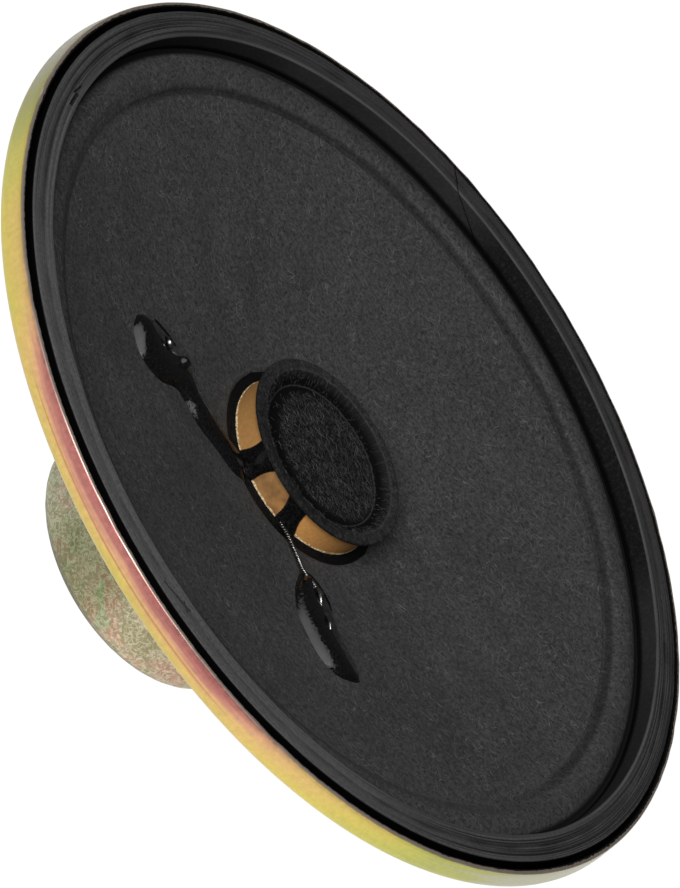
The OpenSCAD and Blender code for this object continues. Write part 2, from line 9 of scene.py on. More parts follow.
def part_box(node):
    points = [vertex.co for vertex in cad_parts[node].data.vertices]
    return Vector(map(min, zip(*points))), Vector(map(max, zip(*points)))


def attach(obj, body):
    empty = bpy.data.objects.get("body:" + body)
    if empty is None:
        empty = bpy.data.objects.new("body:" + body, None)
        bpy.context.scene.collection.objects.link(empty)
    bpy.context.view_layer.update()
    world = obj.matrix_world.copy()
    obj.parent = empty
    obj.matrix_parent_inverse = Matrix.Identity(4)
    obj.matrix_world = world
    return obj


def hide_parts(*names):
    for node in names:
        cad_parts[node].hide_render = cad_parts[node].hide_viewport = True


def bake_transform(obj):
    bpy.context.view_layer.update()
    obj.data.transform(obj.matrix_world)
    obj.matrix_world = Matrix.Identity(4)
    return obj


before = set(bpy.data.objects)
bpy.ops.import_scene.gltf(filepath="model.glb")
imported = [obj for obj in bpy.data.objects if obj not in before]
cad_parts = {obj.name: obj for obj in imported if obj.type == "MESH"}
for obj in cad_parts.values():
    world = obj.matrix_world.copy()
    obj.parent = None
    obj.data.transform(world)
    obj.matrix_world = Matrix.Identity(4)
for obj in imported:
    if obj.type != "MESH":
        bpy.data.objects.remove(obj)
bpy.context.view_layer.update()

bl_info = {
    "name": "Miniature loudspeaker driver",
    "version": (1, 0, 0),
    "blender": (4, 5, 0),
    "location": "View3D > Sidebar > Speaker",
    "description": "Builds the pieces, finishes and studio of a small moving-coil loudspeaker driver",
    "category": "Object",
}

MM = 0.001
# The fitted camera and the outlines of the glue beads are turned by this about the axis, in degrees
VIEW_TURN = 2.5


def span(name):
    """Lowest and highest corner of a CAD node, in mm."""
    low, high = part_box(name)
    return Vector(low) / MM, Vector(high) / MM


def linear(code, alpha=1.0):
    """An sRGB hex colour as linear numbers."""
    values = [int(code[i : i + 2], 16) / 255 for i in (1, 3, 5)]
    return tuple(v / 12.92 if v <= 0.04045 else ((v + 0.055) / 1.055) ** 2.4 for v in values) + (alpha,)


# Places that the CAD gives, in mm
RIM_R = span("basket")[1].x
LIP_Z = span("basket")[1].z
FRONT_Z = span("gasket_ring")[1].z
GASKET_R = span("gasket_ring")[1].x
SEAT_TOP_Z = span("gasket_ring")[0].z
SURROUND_R = span("surround")[1].x
CONE_EDGE_R = span("cone")[1].x
CONE_EDGE_Z = span("cone")[1].z
CAP_R = span("dust_cap")[1].x
CAP_TOP_Z = span("dust_cap")[1].z
CAP_LOW_Z = span("dust_cap")[0].z
FORMER_R = span("voice_coil_former")[1].x
FORMER_TOP_Z = span("voice_coil_former")[1].z
FORMER_LOW_Z = span("voice_coil_former")[0].z
# Edge of the cap's dish and the foot of its wall
DISH_R = FORMER_R - 0.41
DISH_FLOOR_R = DISH_R - 0.8
SPIDER_R = span("spider")[1].x
BOARD_TOP_Z = span("terminal_board")[1].z
POT_R = span("magnet_pot")[1].x
POT_TOP_Z = span("magnet_pot")[1].z


def length(name, default, description):
    """A length of the property group, with its default in mm."""
    return bpy.props.FloatProperty(
        name=name, description=description, default=default * MM, unit="LENGTH", precision=5
    )


def hue(name, code, description):
    """A colour of the property group, with its default as an sRGB hex code."""
    return bpy.props.FloatVectorProperty(
        name=name, description=description, subtype="COLOR", size=4, min=0, max=1, default=linear(code)
    )


class SpeakerSizes(bpy.types.PropertyGroup):
    sheet: length("Sheet steel", 0.4, "Thickness of the basket's sheet steel")
    lip_bend: length("Lip bend", 0.6, "Inside radius of the bend at the lip")
    bend: length("Bends", 0.9, "Inside radius of the basket's other bends")
    lip_lean: length("Lip lean", 0.22, "How far the edge of the lip leans in over the card ring")
    seat_w: length("Seat", 3.4, "Width of the flat seat inside the lip")
    wall_h: length("Steep wall", 2.1, "Depth of the steep wall below the seat")
    floor_r: length("Floor radius", 22.0, "Radius of the flat floor's outer edge")
    hub_r: length("Hub radius", 12.2, "Inner radius of the hub")
    rib_w: length("Ribs", 7.0, "Width of the ribs between the windows")
    window_in: length("Windows, inner radius", 16.4, "Inner radius of the windows")
    window_out: length("Windows, outer radius", 26.8, "Outer radius of the windows")
    gasket_w: length("Gasket width", 2.05, "Width of the card ring")
    surround_t: length("Surround", 0.3, "Thickness of the surround")
    surround_in: length("Surround, inner radius", 27.0, "Radius at which the groove shows")
    surround_foot: length("Surround foot", 29.8, "Radius at which the surround leaves its seat")
    roll_h: length("Roll", 0.24, "Height of the surround's roll")
    cone_t: length("Cone paper", 0.3, "Thickness of the cone's paper")
    neck_r: length("Neck radius", 7.5, "Radius at which the cone dips to its neck")
    neck_z: length("Neck height", 15.83, "Height of the cone at its neck")
    neck_dip: length("Neck dip", 0.65, "Depth of the dip at the neck")
    fibre_l: length("Pulp fibre length", 0.7, "Typical length of a fibre in the cone's paper")
    fibre_w: length("Pulp fibre width", 0.07, "Typical width of a fibre in the cone's paper")
    felt_hair_l: length("Felt hair length", 0.42, "Typical length of a hair that stands out of the felt")
    felt_hair_w: length("Felt hair width", 0.026, "Thickness of a felt hair")
    glue_h: length("Glue height", 0.85, "Height of the glue beads over the cone")


class SpeakerColours(bpy.types.PropertyGroup):
    cone: hue("Cone", "#363636", "Dyed paper pulp")
    cone_fibre: hue("Cone fibres", "#747575", "Undyed fibres in the pulp")
    card: hue("Gasket card", "#343435", "Face of the card ring")
    felt: hue("Felt", "#1d1d1e", "Felt of the dust cap")
    felt_hair: hue("Felt hairs", "#3e3f3f", "Hairs of the felt that catch the light")
    kraft: hue("Former", "#ae844c", "Kraft paper of the coil former")
    glue: hue("Glue", "#050506", "Black speaker glue")
    rose: hue("Chromate, rose", "#a0605c", "Thin chromate film next to the lip")
    amber: hue("Chromate, amber", "#cd9a78", "Chromate film below the rose band")
    yellow: hue("Chromate, yellow", "#c9b65c", "Chromate film of full thickness")
    olive: hue("Chromate, olive", "#a8a862", "Thickest chromate film, at the rear of the rim")
    laminate: hue("Terminal board", "#6a4320", "Paper laminate of the terminal board")


# Mesh code


def unit(v):
    """The vector at length 1."""
    return v / np.linalg.norm(v)


def rounded(path, radii, steps=8):
    """The corners of a path of [r, z] rounded to the given radii; a radius of 0 keeps the corner."""
    path = [np.array(p, float) for p in path]
    out = []
    for i, corner in enumerate(path):
        if radii[i] == 0:
            out.append(corner)
            continue
        back, on = unit(path[i - 1] - corner), unit(path[i + 1] - corner)
        half = math.acos(float(np.clip(back @ on, -1, 1))) / 2
        centre = corner + unit(back + on) * radii[i] / math.sin(half)
        first = corner + back * radii[i] / math.tan(half) - centre
        last = corner + on * radii[i] / math.tan(half) - centre
        start = math.atan2(first[1], first[0])
        sweep = (math.atan2(last[1], last[0]) - start + math.pi) % (2 * math.pi) - math.pi
        for k in range(steps + 1):
            angle = start + sweep * k / steps
            out.append(centre + radii[i] * np.array([math.cos(angle), math.sin(angle)]))
    return out


def beside(path, distance):
    """The path moved sideways, to its left."""
    out = []
    for i in range(len(path)):
        before = unit(path[max(i, 1)] - path[max(i, 1) - 1])
        after = unit(path[min(i, len(path) - 2) + 1] - path[min(i, len(path) - 2)])
        before, after = np.array([-before[1], before[0]]), np.array([-after[1], after[0]])
        out.append(path[i] + distance * (before + after) / (1 + before @ after))
    return out


def refined(path, step):
    """The path with extra points, so that none of its lengths is longer than step."""
    out = [path[0]]
    for a, b in zip(path[:-1], path[1:]):
        parts = max(1, int(math.ceil(np.linalg.norm(b - a) / step)))
        out += [a + (b - a) * k / parts for k in range(1, parts + 1)]
    return out


def outline(path, thickness, step=0.6, edge=0.0):
    """The closed outline of a sheet whose front is the path; edge rounds its first end."""
    path = refined([np.array(p, float) for p in path], step)
    back = beside(path, thickness)
    if edge:
        away = unit(path[0] - path[1])
        across = unit(back[0] - path[0])
        corner_a, corner_b = path[0], back[0]
        path[0] = corner_a - away * edge
        back[0] = corner_b - away * edge
        lip = [
            corner_b - away * edge * 0.3 - across * edge * 0.3,
            corner_b - across * edge,
            corner_a + across * edge,
            corner_a - away * edge * 0.3 + across * edge * 0.3,
        ]
        return lip + path + back[::-1]
    return path + back[::-1]


def placed(radius, bearing, height):
    """Points at the radii, the bearings in radians and the heights."""
    return np.stack([radius * np.cos(bearing), radius * np.sin(bearing), height], -1)


def revolve(points, steps, first=0.0, sweep=360.0, shape=None, closed=True):
    """Vertices and faces of an outline of [r, z] turned about the axis; shape may move the points."""
    points = np.array(points, float)
    whole = abs(sweep - 360) < 1e-6
    count = steps if whole else steps + 1
    bearing = np.radians(first + sweep * np.arange(count) / steps)[:, None]
    radius = np.repeat(points[None, :, 0], count, 0)
    height = np.repeat(points[None, :, 1], count, 0)
    if shape:
        radius, height = shape(radius, height, bearing)
    verts = placed(radius, bearing, height).reshape(-1, 3)
    n = len(points)
    faces = []
    for i in range(steps):
        j = (i + 1) % count
        for k in range(n if closed else n - 1):
            m = (k + 1) % n
            faces.append((i * n + k, i * n + m, j * n + m, j * n + k))
    if not whole and closed:
        faces.append(tuple(range(n - 1, -1, -1)))
        faces.append(tuple(steps * n + k for k in range(n)))
    return verts, faces


def tube(path, radius, sides=10, twist=None):
    """A closed tube along the path; twist moves its centre off the path as (radius, turns, phase)."""
    path = np.array(path, float)
    tangent = np.gradient(path, axis=0)
    tangent /= np.linalg.norm(tangent, axis=1)[:, None]
    plan = path[-1] - path[0]
    aside = np.array([-plan[1], plan[0], 0.0])
    across = np.cross(tangent, aside)
    across /= np.linalg.norm(across, axis=1)[:, None]
    upward = np.cross(across, tangent)
    if twist:
        off, turns, phase = twist
        angle = phase + 2 * math.pi * turns * np.linspace(0, 1, len(path))[:, None]
        path = path + off * (np.cos(angle) * across + np.sin(angle) * upward)
    around = 2 * math.pi * np.arange(sides) / sides
    ring = np.cos(around)[None, :, None] * across[:, None] + np.sin(around)[None, :, None] * upward[:, None]
    width = np.broadcast_to(np.array(radius, float).reshape(-1, 1, 1), (len(path), 1, 1))
    verts = (path[:, None] + width * ring).reshape(-1, 3)
    faces = []
    for i in range(len(path) - 1):
        for k in range(sides):
            m = (k + 1) % sides
            faces.append((i * sides + k, i * sides + m, (i + 1) * sides + m, (i + 1) * sides + k))
    faces.append(tuple(range(sides - 1, -1, -1)))
    faces.append(tuple((len(path) - 1) * sides + k for k in range(sides)))
    return verts, faces


def joined(parts):
    """Several (verts, faces) as one."""
    verts, faces, start = [], [], 0
    for v, f in parts:
        verts.append(v)
        faces += [tuple(i + start for i in face) for face in f]
        start += len(v)
    return np.concatenate(verts), faces


def smooth_line(points, count):
    """A smooth curve of count points through the given points."""
    points = np.array(points, float)
    ends = np.concatenate([[2 * points[0] - points[1]], points, [2 * points[-1] - points[-2]]])
    out = []
    for t in np.linspace(0, len(points) - 1, count):
        i = min(int(t), len(points) - 2)
        u = t - i
        a, b, c, d = ends[i : i + 4]
        out.append(
            0.5 * (2 * b + (c - a) * u + (2 * a - 5 * b + 4 * c - d) * u**2 + (3 * b - a - 3 * c + d) * u**3)
        )
    return np.array(out)


def ripple(bearing, radius, seed, waves, across=0.0):
    """A soft random wave around the axis, between about -1 and 1, that also changes with the radius."""
    draw = np.random.RandomState(seed)
    total = 0
    for _ in range(waves[2]):
        turns = draw.randint(waves[0], waves[1])
        total = total + np.sin(turns * bearing + draw.rand() * 6.28 + across * draw.rand() * radius)
    return total / math.sqrt(waves[2])


def solid(name, verts, faces, weld=True):
    """A new object from a mesh in mm, with its faces turned outwards."""
    mesh = bpy.data.meshes.new(name)
    mesh.from_pydata([tuple(v) for v in np.array(verts, float) * MM], [], faces)
    mesh.validate()
    obj = bpy.data.objects.new(name, mesh)
    bpy.context.scene.collection.objects.link(obj)
    work = bmesh.new()
    work.from_mesh(mesh)
    if weld:
        bmesh.ops.remove_doubles(work, verts=work.verts, dist=2e-7)
        bmesh.ops.dissolve_degenerate(work, edges=work.edges, dist=1e-8)
    bmesh.ops.recalc_face_normals(work, faces=work.faces)
    work.to_mesh(mesh)
    work.free()
    return obj


def without(obj, tool):
    """The object's mesh with the tool cut out of it."""
    boolean = obj.modifiers.new("cut", "BOOLEAN")
    boolean.operation = "DIFFERENCE"
    boolean.solver = "EXACT"
    boolean.use_self = True
    boolean.object = tool
    bpy.context.view_layer.update()
    mesh = bpy.data.meshes.new_from_object(obj.evaluated_get(bpy.context.evaluated_depsgraph_get()))
    obj.modifiers.clear()
    mesh.name = obj.name
    return mesh


def piece(name, verts, faces, finish, body, nodes=(), sharp=35.0, weld=True, cut=None):
    """A new piece in mm that rides on a body, stands for CAD nodes and has one finish."""
    obj = solid(name, verts, faces, weld)
    if cut:
        tool = solid(name + "_cut", *cut)
        obj.data = without(obj, tool)
        bpy.data.objects.remove(tool)
    mesh = obj.data
    mesh.polygons.foreach_set("use_smooth", [True] * len(mesh.polygons))
    mesh.set_sharp_from_angle(angle=math.radians(sharp))
    mesh.materials.clear()
    mesh.materials.append(finish)
    if body:
        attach(obj, body)
    if nodes:
        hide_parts(*nodes)
    return obj


def dress(name, finish):
    """A CAD node keeps its shape and gets a better finish."""
    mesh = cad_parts[name].data
    mesh.materials.clear()
    mesh.materials.append(finish)


def prism(points, low, high):
    """A closed block with the outline points in plan."""
    n = len(points)
    verts = [(x, y, z) for z in (low, high) for x, y in points]
    faces = [tuple(range(n - 1, -1, -1)), tuple(range(n, 2 * n))]
    faces += [(k, (k + 1) % n, n + (k + 1) % n, n + k) for k in range(n)]
    return np.array(verts, float), faces


def block(centre, size, turn):
    """A closed box, turned by a 3 x 3 matrix."""
    corners = np.array([(x, y, z) for z in (-0.5, 0.5) for y in (-0.5, 0.5) for x in (-0.5, 0.5)]) * size
    verts = corners @ np.array(turn).T + np.array(centre)
    faces = [(0, 2, 3, 1), (4, 5, 7, 6), (0, 1, 5, 4), (2, 6, 7, 3), (0, 4, 6, 2), (1, 3, 7, 5)]
    return verts, faces


# Node trees

# The output that a node is used for, where it isn't the first one
OUTPUTS = {"Mix": 2, "DOT_PRODUCT": 1, "LENGTH": 1, "TexCoord": 3, "NewGeometry": 1}


def feed(tree, node, inputs):
    """Each input gets a link, a number, or a colour, which may be an sRGB hex code."""
    for key, value in inputs.items():
        if isinstance(value, bpy.types.NodeSocket):
            tree.links.new(value, node.inputs[key])
        elif isinstance(value, str):
            node.inputs[key].default_value = linear(value)
        else:
            node.inputs[key].default_value = value


def add(tree, kind, *values, out=None, stops=(), **named):
    """One node, from its kind and operation, its inputs in order, and its other inputs and settings."""
    kind, _, operation = kind.partition(" ")
    made = tree.nodes.new("ShaderNode" + kind)
    places = range(len(values))
    if kind == "Mix":
        # A mix of colours: its inputs are the share, the first colour and the second
        made.data_type = "RGBA"
        made.blend_type = operation or "MIX"
        places = (0, 6, 7)
    elif operation:
        made.operation = operation
    feed(tree, made, dict(zip(places, values)))
    for key, value in named.items():
        if key in made.inputs:
            feed(tree, made, {key: value})
        else:
            setattr(made, key, value)
    if stops:
        elements = made.color_ramp.elements
        elements.remove(elements[1])
        for place, (position, colour) in enumerate(stops):
            stop = elements.new(position) if place else elements[0]
            stop.position = position
            stop.color = linear(colour) if isinstance(colour, str) else colour
    if out is None:
        out = OUTPUTS.get(kind, OUTPUTS.get(operation, 0))
    return made.outputs[out]


def finish_of(name):
    """A new material and its node tree."""
    made = bpy.data.materials.new(name)
    made.use_nodes = True
    return made, made.node_tree


def finished(made, base, rough, bump=None, metallic=0.0, specular=0.5, ior=None):
    """The material with its shader fed; bump is a strength, a depth in mm and a pattern."""
    tree = made.node_tree
    shader = tree.nodes["Principled BSDF"]
    inputs = {"Base Color": base, "Roughness": rough, "Metallic": metallic, "Specular IOR Level": specular}
    if ior:
        inputs["IOR"] = ior
    if bump:
        strength, depth, pattern = bump
        inputs["Normal"] = add(tree, "Bump", Strength=strength, Distance=depth * MM, Height=pattern)
    feed(tree, shader, inputs)
    return made


def grey(share):
    """A linear grey."""
    return (share, share, share, 1)


def where(tree):
    """The point in mm. The scale of a pattern laid on it is the number of its grains to the mm."""
    return add(tree, "VectorMath SCALE", add(tree, "TexCoord"), Scale=1 / MM)


def axial(tree, point):
    """The point's distance from the axis, and its direction from it."""
    flat = add(tree, "VectorMath MULTIPLY", point, (1, 1, 0))
    return add(tree, "VectorMath LENGTH", flat), add(tree, "VectorMath NORMALIZE", flat)


def along_rings(tree, radius, height, heading, streaks, fineness):
    """Coordinates that run slowly around the axis and quickly across it, for turned or wound marks."""
    ring = add(tree, "VectorMath SCALE", heading, Scale=streaks)
    depth = add(tree, "Math SUBTRACT", radius, height)
    up = add(tree, "CombineXYZ", Z=add(tree, "Math MULTIPLY", depth, fineness))
    return add(tree, "VectorMath ADD", ring, up)


def fibres(tree, point, long_mm, wide_mm, share, directions, curl):
    """Loose fibres in the XY plane: the strength of the fibre at each point, from 0 to 1."""
    bent = add(tree, "TexNoise", point, Scale=0.9 / long_mm, Detail=1.0, out=1)
    shift = add(tree, "VectorMath SUBTRACT", bent, (0.5, 0.5, 0.5))
    shift = add(tree, "VectorMath SCALE", shift, Scale=curl * long_mm)
    curled = add(tree, "VectorMath ADD", point, shift)
    total = None
    for i in range(directions):
        turned = add(
            tree,
            "Mapping",
            curled,
            Rotation=(0, 0, math.pi * i / directions + 0.3),
            Location=(7.3 * i, 3.1 * i, 0),
            Scale=(2 * long_mm, 2 * wide_mm, 1),
            vector_type="TEXTURE",
        )
        cells = add(tree, "TexVoronoi", turned, Scale=1.0, voronoi_dimensions="2D")
        line = add(tree, "MapRange", cells, 0.12, 0.34, 1.0, 0.0)
        kept = add(tree, "SeparateColor", cells.node.outputs["Color"])
        chosen = add(tree, "MapRange", kept, 1 - share)
        here = add(tree, "Math MULTIPLY", line, chosen)
        total = here if total is None else add(tree, "Math MAXIMUM", total, here)
    return total


def toward(tree, heading, bearing):
    """Cosine of the angle between the heading and a bearing in degrees."""
    way = (math.cos(math.radians(bearing)), math.sin(math.radians(bearing)), 0)
    return add(tree, "VectorMath DOT_PRODUCT", heading, way)


def facing(tree, heading, bearing, low, high):
    """A soft mask that is 1 toward a bearing in degrees: low and high are cosines of the angle from it."""
    near = toward(tree, heading, bearing)
    return add(tree, "MapRange", near, low, high, interpolation_type="SMOOTHSTEP")


def toned(tree, mask, base, tone):
    """The base, multiplied by a tone where the mask is 1."""
    return add(tree, "Mix", mask, base, add(tree, "Mix MULTIPLY", 1.0, base, tone))


def distance_from(tree, value, place):
    """How far a value is from a place, on either side."""
    return add(tree, "Math ABSOLUTE", add(tree, "Math SUBTRACT", value, place))


def pulp_paper(colours, sizes, name, share, gloss):
    # Pressed paper pulp, dyed black: matt and speckled, with short undyed fibres lying in patches on it
    made, tree = finish_of(name)
    point = where(tree)
    radius, heading = axial(tree, point)
    long_mm, wide_mm = mm(sizes.fibre_l), mm(sizes.fibre_w)
    strong = fibres(tree, point, long_mm, wide_mm, share, 7, 1.2)
    faint = fibres(tree, point, long_mm * 0.6, wide_mm * 1.1, 0.45, 5, 1.4)
    mottle = add(tree, "TexNoise", point, Scale=3.8, Detail=4.0, Roughness=0.85)
    cloud = add(tree, "TexNoise", point, Scale=0.13, Detail=3.0)
    patches = add(tree, "TexNoise", point, Scale=0.35, Detail=2.0)
    grain = add(tree, "MapRange", mottle, 0.32, 0.68, 0.2, 1.8)
    base = add(tree, "Mix MULTIPLY", 1.0, colours.cone, grain)
    shade = add(tree, "MapRange", cloud, 0.3, 0.7, 0.88, 1.12)
    base = add(tree, "Mix MULTIPLY", 1.0, base, shade)
    spread = add(tree, "MapRange", patches, 0.38, 0.6, 0.2, 1.0)
    strong = add(tree, "Math MULTIPLY", strong, spread)
    both = add(tree, "Math ADD", strong, add(tree, "Math MULTIPLY", faint, 0.35))
    cover = add(tree, "Math MULTIPLY", both, 0.46, use_clamp=True)
    base = add(tree, "Mix", cover, base, colours.cone_fibre)
    # Painted shade darkens the groove, which is drawn only on the far side, a little off centre
    side = add(tree, "VectorMath DOT_PRODUCT", heading, (0.1, 0.17, 0))
    away = distance_from(tree, add(tree, "Math SUBTRACT", radius, side), mm(sizes.surround_in) - 0.1)
    groove = add(tree, "MapRange", away, 0.05, 0.5, 1.0, 0.0, interpolation_type="SMOOTHERSTEP")
    groove = add(tree, "Math MULTIPLY", groove, facing(tree, heading, 90, -0.35, 0.15))
    base = toned(tree, groove, base, grey(0.42))
    # Painted shade darkens the corner by the card ring too
    foot_r = mm(sizes.surround_foot)
    corner = add(tree, "MapRange", radius, foot_r - 0.5, foot_r - 0.2)
    base = add(tree, "Mix", corner, base, "#070707")
    raised = add(tree, "Math ADD", mottle, both)
    return finished(made, base, gloss, (0.6, 0.05, raised), specular=0.3, ior=1.45)


def felt_finish(colours):
    # Wool felt, punched and dyed black: grey where single hairs catch the light, and painted shade makes it
    # nearly black down the wall of the dish, where the press has drawn the hairs out into strokes with dark
    # gaps between them
    made, tree = finish_of("Wool felt cap, pressed and dyed")
    point = where(tree)
    radius, heading = axial(tree, point)
    height = add(tree, "SeparateXYZ", point, out=2)
    hairs = fibres(tree, point, 0.45, 0.05, 0.45, 6, 1.3)
    depth = add(tree, "TexNoise", point, Scale=3.6, Detail=5.0, Roughness=0.85)
    dark = add(tree, "Mix MULTIPLY", 1.0, colours.felt, grey(0.15))
    base = add(tree, "Mix", add(tree, "MapRange", depth, 0.42, 0.58), dark, colours.felt)
    cover = add(tree, "Math MULTIPLY", hairs, 0.3, use_clamp=True)
    base = add(tree, "Mix", cover, base, colours.felt_hair)
    # The flange is pressed smoother; painted light makes it greyest on the far side, and painted shade darker
    # on the near one
    ring = add(tree, "MapRange", radius, DISH_R - 0.05, DISH_R + 0.15)
    press = add(tree, "MapRange", depth, 0.35, 0.65)
    smooth = add(tree, "Mix", press, "#101011", "#2d2d2e")
    lying = add(tree, "Math MULTIPLY", hairs, 0.5, use_clamp=True)
    smooth = add(tree, "Mix", lying, smooth, "#505051")
    smooth = toned(tree, facing(tree, heading, 80, -0.2, 0.6), smooth, grey(1.3))
    smooth = toned(tree, facing(tree, heading, 262, 0.1, 0.9), smooth, grey(0.55))
    base = add(tree, "Mix", ring, base, smooth)
    # Painted shade on the wall of the dish: black at its foot, greyer toward the flange, with pale strokes
    around = add(tree, "VectorMath SCALE", heading, Scale=26.0)
    strokes = add(tree, "TexNoise", around, Scale=1.0, Detail=3.0)
    stroke = add(tree, "MapRange", strokes, 0.52, 0.66, 0.0, 0.35)
    rise = add(tree, "MapRange", height, CAP_TOP_Z - 0.5, CAP_TOP_Z - 0.08)
    dish_wall_shade = add(tree, "Mix", rise, "#040404", "#1c1c1d")
    stroke = add(tree, "Math MULTIPLY", stroke, rise)
    dish_wall_shade = add(tree, "Mix", stroke, dish_wall_shade, colours.felt_hair)
    inside = add(tree, "MapRange", radius, DISH_FLOOR_R - 0.1, DISH_FLOOR_R + 0.1)
    outside = add(tree, "MapRange", radius, DISH_R - 0.1, DISH_R + 0.1, 1.0, 0.0)
    base = add(tree, "Mix", add(tree, "Math MULTIPLY", inside, outside), base, dish_wall_shade)
    # Painted shadow darkens the floor of the dish outside a circle that stands a little toward the back of
    # the dish
    off = add(tree, "VectorMath SUBTRACT", point, (0.3, 0.6, 0))
    off = add(tree, "VectorMath MULTIPLY", off, (1, 1, 0))
    reach = add(tree, "VectorMath LENGTH", off)
    reach = add(tree, "Math ADD", reach, add(tree, "MapRange", depth, 0.3, 0.7, -0.35, 0.35))
    low = add(tree, "MapRange", reach, 4.6, 5.1)
    on_floor = add(tree, "MapRange", height, CAP_TOP_Z - 0.5, CAP_TOP_Z - 0.6)
    base = add(tree, "Mix", add(tree, "Math MULTIPLY", low, on_floor), base, "#050505")
    # Painted highlights as pale lines where the wall meets the floor, and along the edge of the flange
    highlight_line_w = 0.08
    for at, share in ((DISH_FLOOR_R - 0.02, 0.22), (DISH_R + 0.06, 0.16)):
        line = add(tree, "MapRange", distance_from(tree, radius, at), 0.0, highlight_line_w, share, 0.0)
        base = add(tree, "Mix", line, base, "#6a6a6a")
    return finished(made, base, 0.95, (0.9, 0.08, depth), specular=0.1)


def hair_finish(colours):
    # Single wool hairs: thin, grey against the felt, with a slight sheen and uneven dye along them
    made, tree = finish_of("Wool hairs of the felt")
    point = where(tree)
    dye = add(tree, "TexNoise", point, Scale=1.6, Detail=2.0)
    tone = add(tree, "ValToRGB", dye, stops=[(0.3, "#161617"), (0.72, colours.felt_hair)])
    return finished(made, tone, 0.7, specular=0.35)


def card_finish(colours, sizes):
    # Laminated black card, cut to a ring: the plies show as thin lines round it, strongest at its two sides,
    # painted light makes the near side a paler grey, and painted shade makes the open cut of the inner wall
    # black
    made, tree = finish_of("Black card ring, laminated and cut")
    point = where(tree)
    radius, heading = axial(tree, point)
    height = add(tree, "SeparateXYZ", point, out=2)
    inner_r = GASKET_R - mm(sizes.gasket_w)
    rings = along_rings(tree, radius, 0.0, heading, 1.2, 11.0)
    plies = add(tree, "TexNoise", rings, Scale=1.0, Detail=2.0, Roughness=0.6)
    grain = add(tree, "TexNoise", point, Scale=4.0, Detail=4.0, Roughness=0.8)
    lines = add(tree, "MapRange", plies, 0.38, 0.62, -0.8, 0.8)
    right = add(tree, "MapRange", facing(tree, heading, 0, 0.5, 0.85), 0.0, 1.0, 0.2, 1.0)
    left = add(tree, "MapRange", facing(tree, heading, 175, 0.6, 0.9), 0.0, 1.0, 0.2, 1.0)
    lines = add(tree, "Math MULTIPLY", lines, add(tree, "Math MAXIMUM", right, left))
    tone = add(tree, "Math ADD", lines, 1.0)
    base = add(tree, "Mix MULTIPLY", 1.0, colours.card, tone)
    speck = add(tree, "MapRange", grain, 0.3, 0.7, 0.6, 1.4)
    base = add(tree, "Mix MULTIPLY", 1.0, base, speck)
    # Painted light makes the near side paler, widest on the inner plies
    inner = add(tree, "MapRange", radius, inner_r + 1.0, inner_r + 0.85)
    wide = add(tree, "Math MULTIPLY", inner, facing(tree, heading, 256, 0.35, 0.72))
    narrow = add(tree, "MapRange", facing(tree, heading, 264, 0.5, 0.9), 0.0, 1.0, 0.0, 0.85)
    base = toned(tree, add(tree, "Math MAXIMUM", wide, narrow), base, (2.05, 2.04, 2.0, 1))
    # A painted highlight along the inner edge, all round
    edge = add(tree, "MapRange", radius, inner_r + 0.12, inner_r + 0.3, 0.4, 0.0)
    base = add(tree, "Mix", edge, base, "#5a5a5b")
    # Painted shade on the cut wall inside: blackest on the far side as far as the seam, and black at its foot
    face = add(tree, "MapRange", height, FRONT_Z - 0.1, FRONT_Z - 0.04)
    cut_wall_shade = add(tree, "MapRange", facing(tree, heading, 76, 0.84, 0.93), 0.0, 1.0, 0.34, 0.1)
    past_seam = add(tree, "VectorMath DOT_PRODUCT", heading, (-0.924, 0.382, 0))
    past_seam = add(tree, "MapRange", past_seam, 0.66, 0.7, 0.0, 0.34)
    cut_wall_shade = add(tree, "Math MAXIMUM", cut_wall_shade, past_seam)
    foot = add(tree, "MapRange", height, SEAT_TOP_Z + 0.3, SEAT_TOP_Z + 0.6, 0.1, 1.0)
    cut_wall_shade = add(tree, "Math MULTIPLY", cut_wall_shade, foot)
    wall = add(tree, "Mix MULTIPLY", 1.0, base, cut_wall_shade)
    fuzz = add(tree, "MapRange", grain, 0.5, 0.7, 0.0, 0.3)
    wall = add(tree, "Mix", add(tree, "Math MULTIPLY", fuzz, foot), wall, "#3c3c3d")
    base = add(tree, "Mix", face, wall, base)
    # Painted shade makes the outer wall and its edge black, so that the gap to the lip is black
    outer = add(tree, "MapRange", radius, GASKET_R - 0.14, GASKET_R - 0.08)
    base = add(tree, "Mix", outer, base, "#040404")
    shine = add(tree, "MapRange", face, 0.0, 1.0, 0.05, 0.4)
    unshaded = add(tree, "MapRange", outer, 0.0, 1.0, 1.0, 0.1)
    shine = add(tree, "Math MULTIPLY", shine, unshaded)
    raised = add(tree, "Math ADD", plies, grain)
    return finished(made, base, 0.75, (0.6, 0.05, raised), specular=shine)


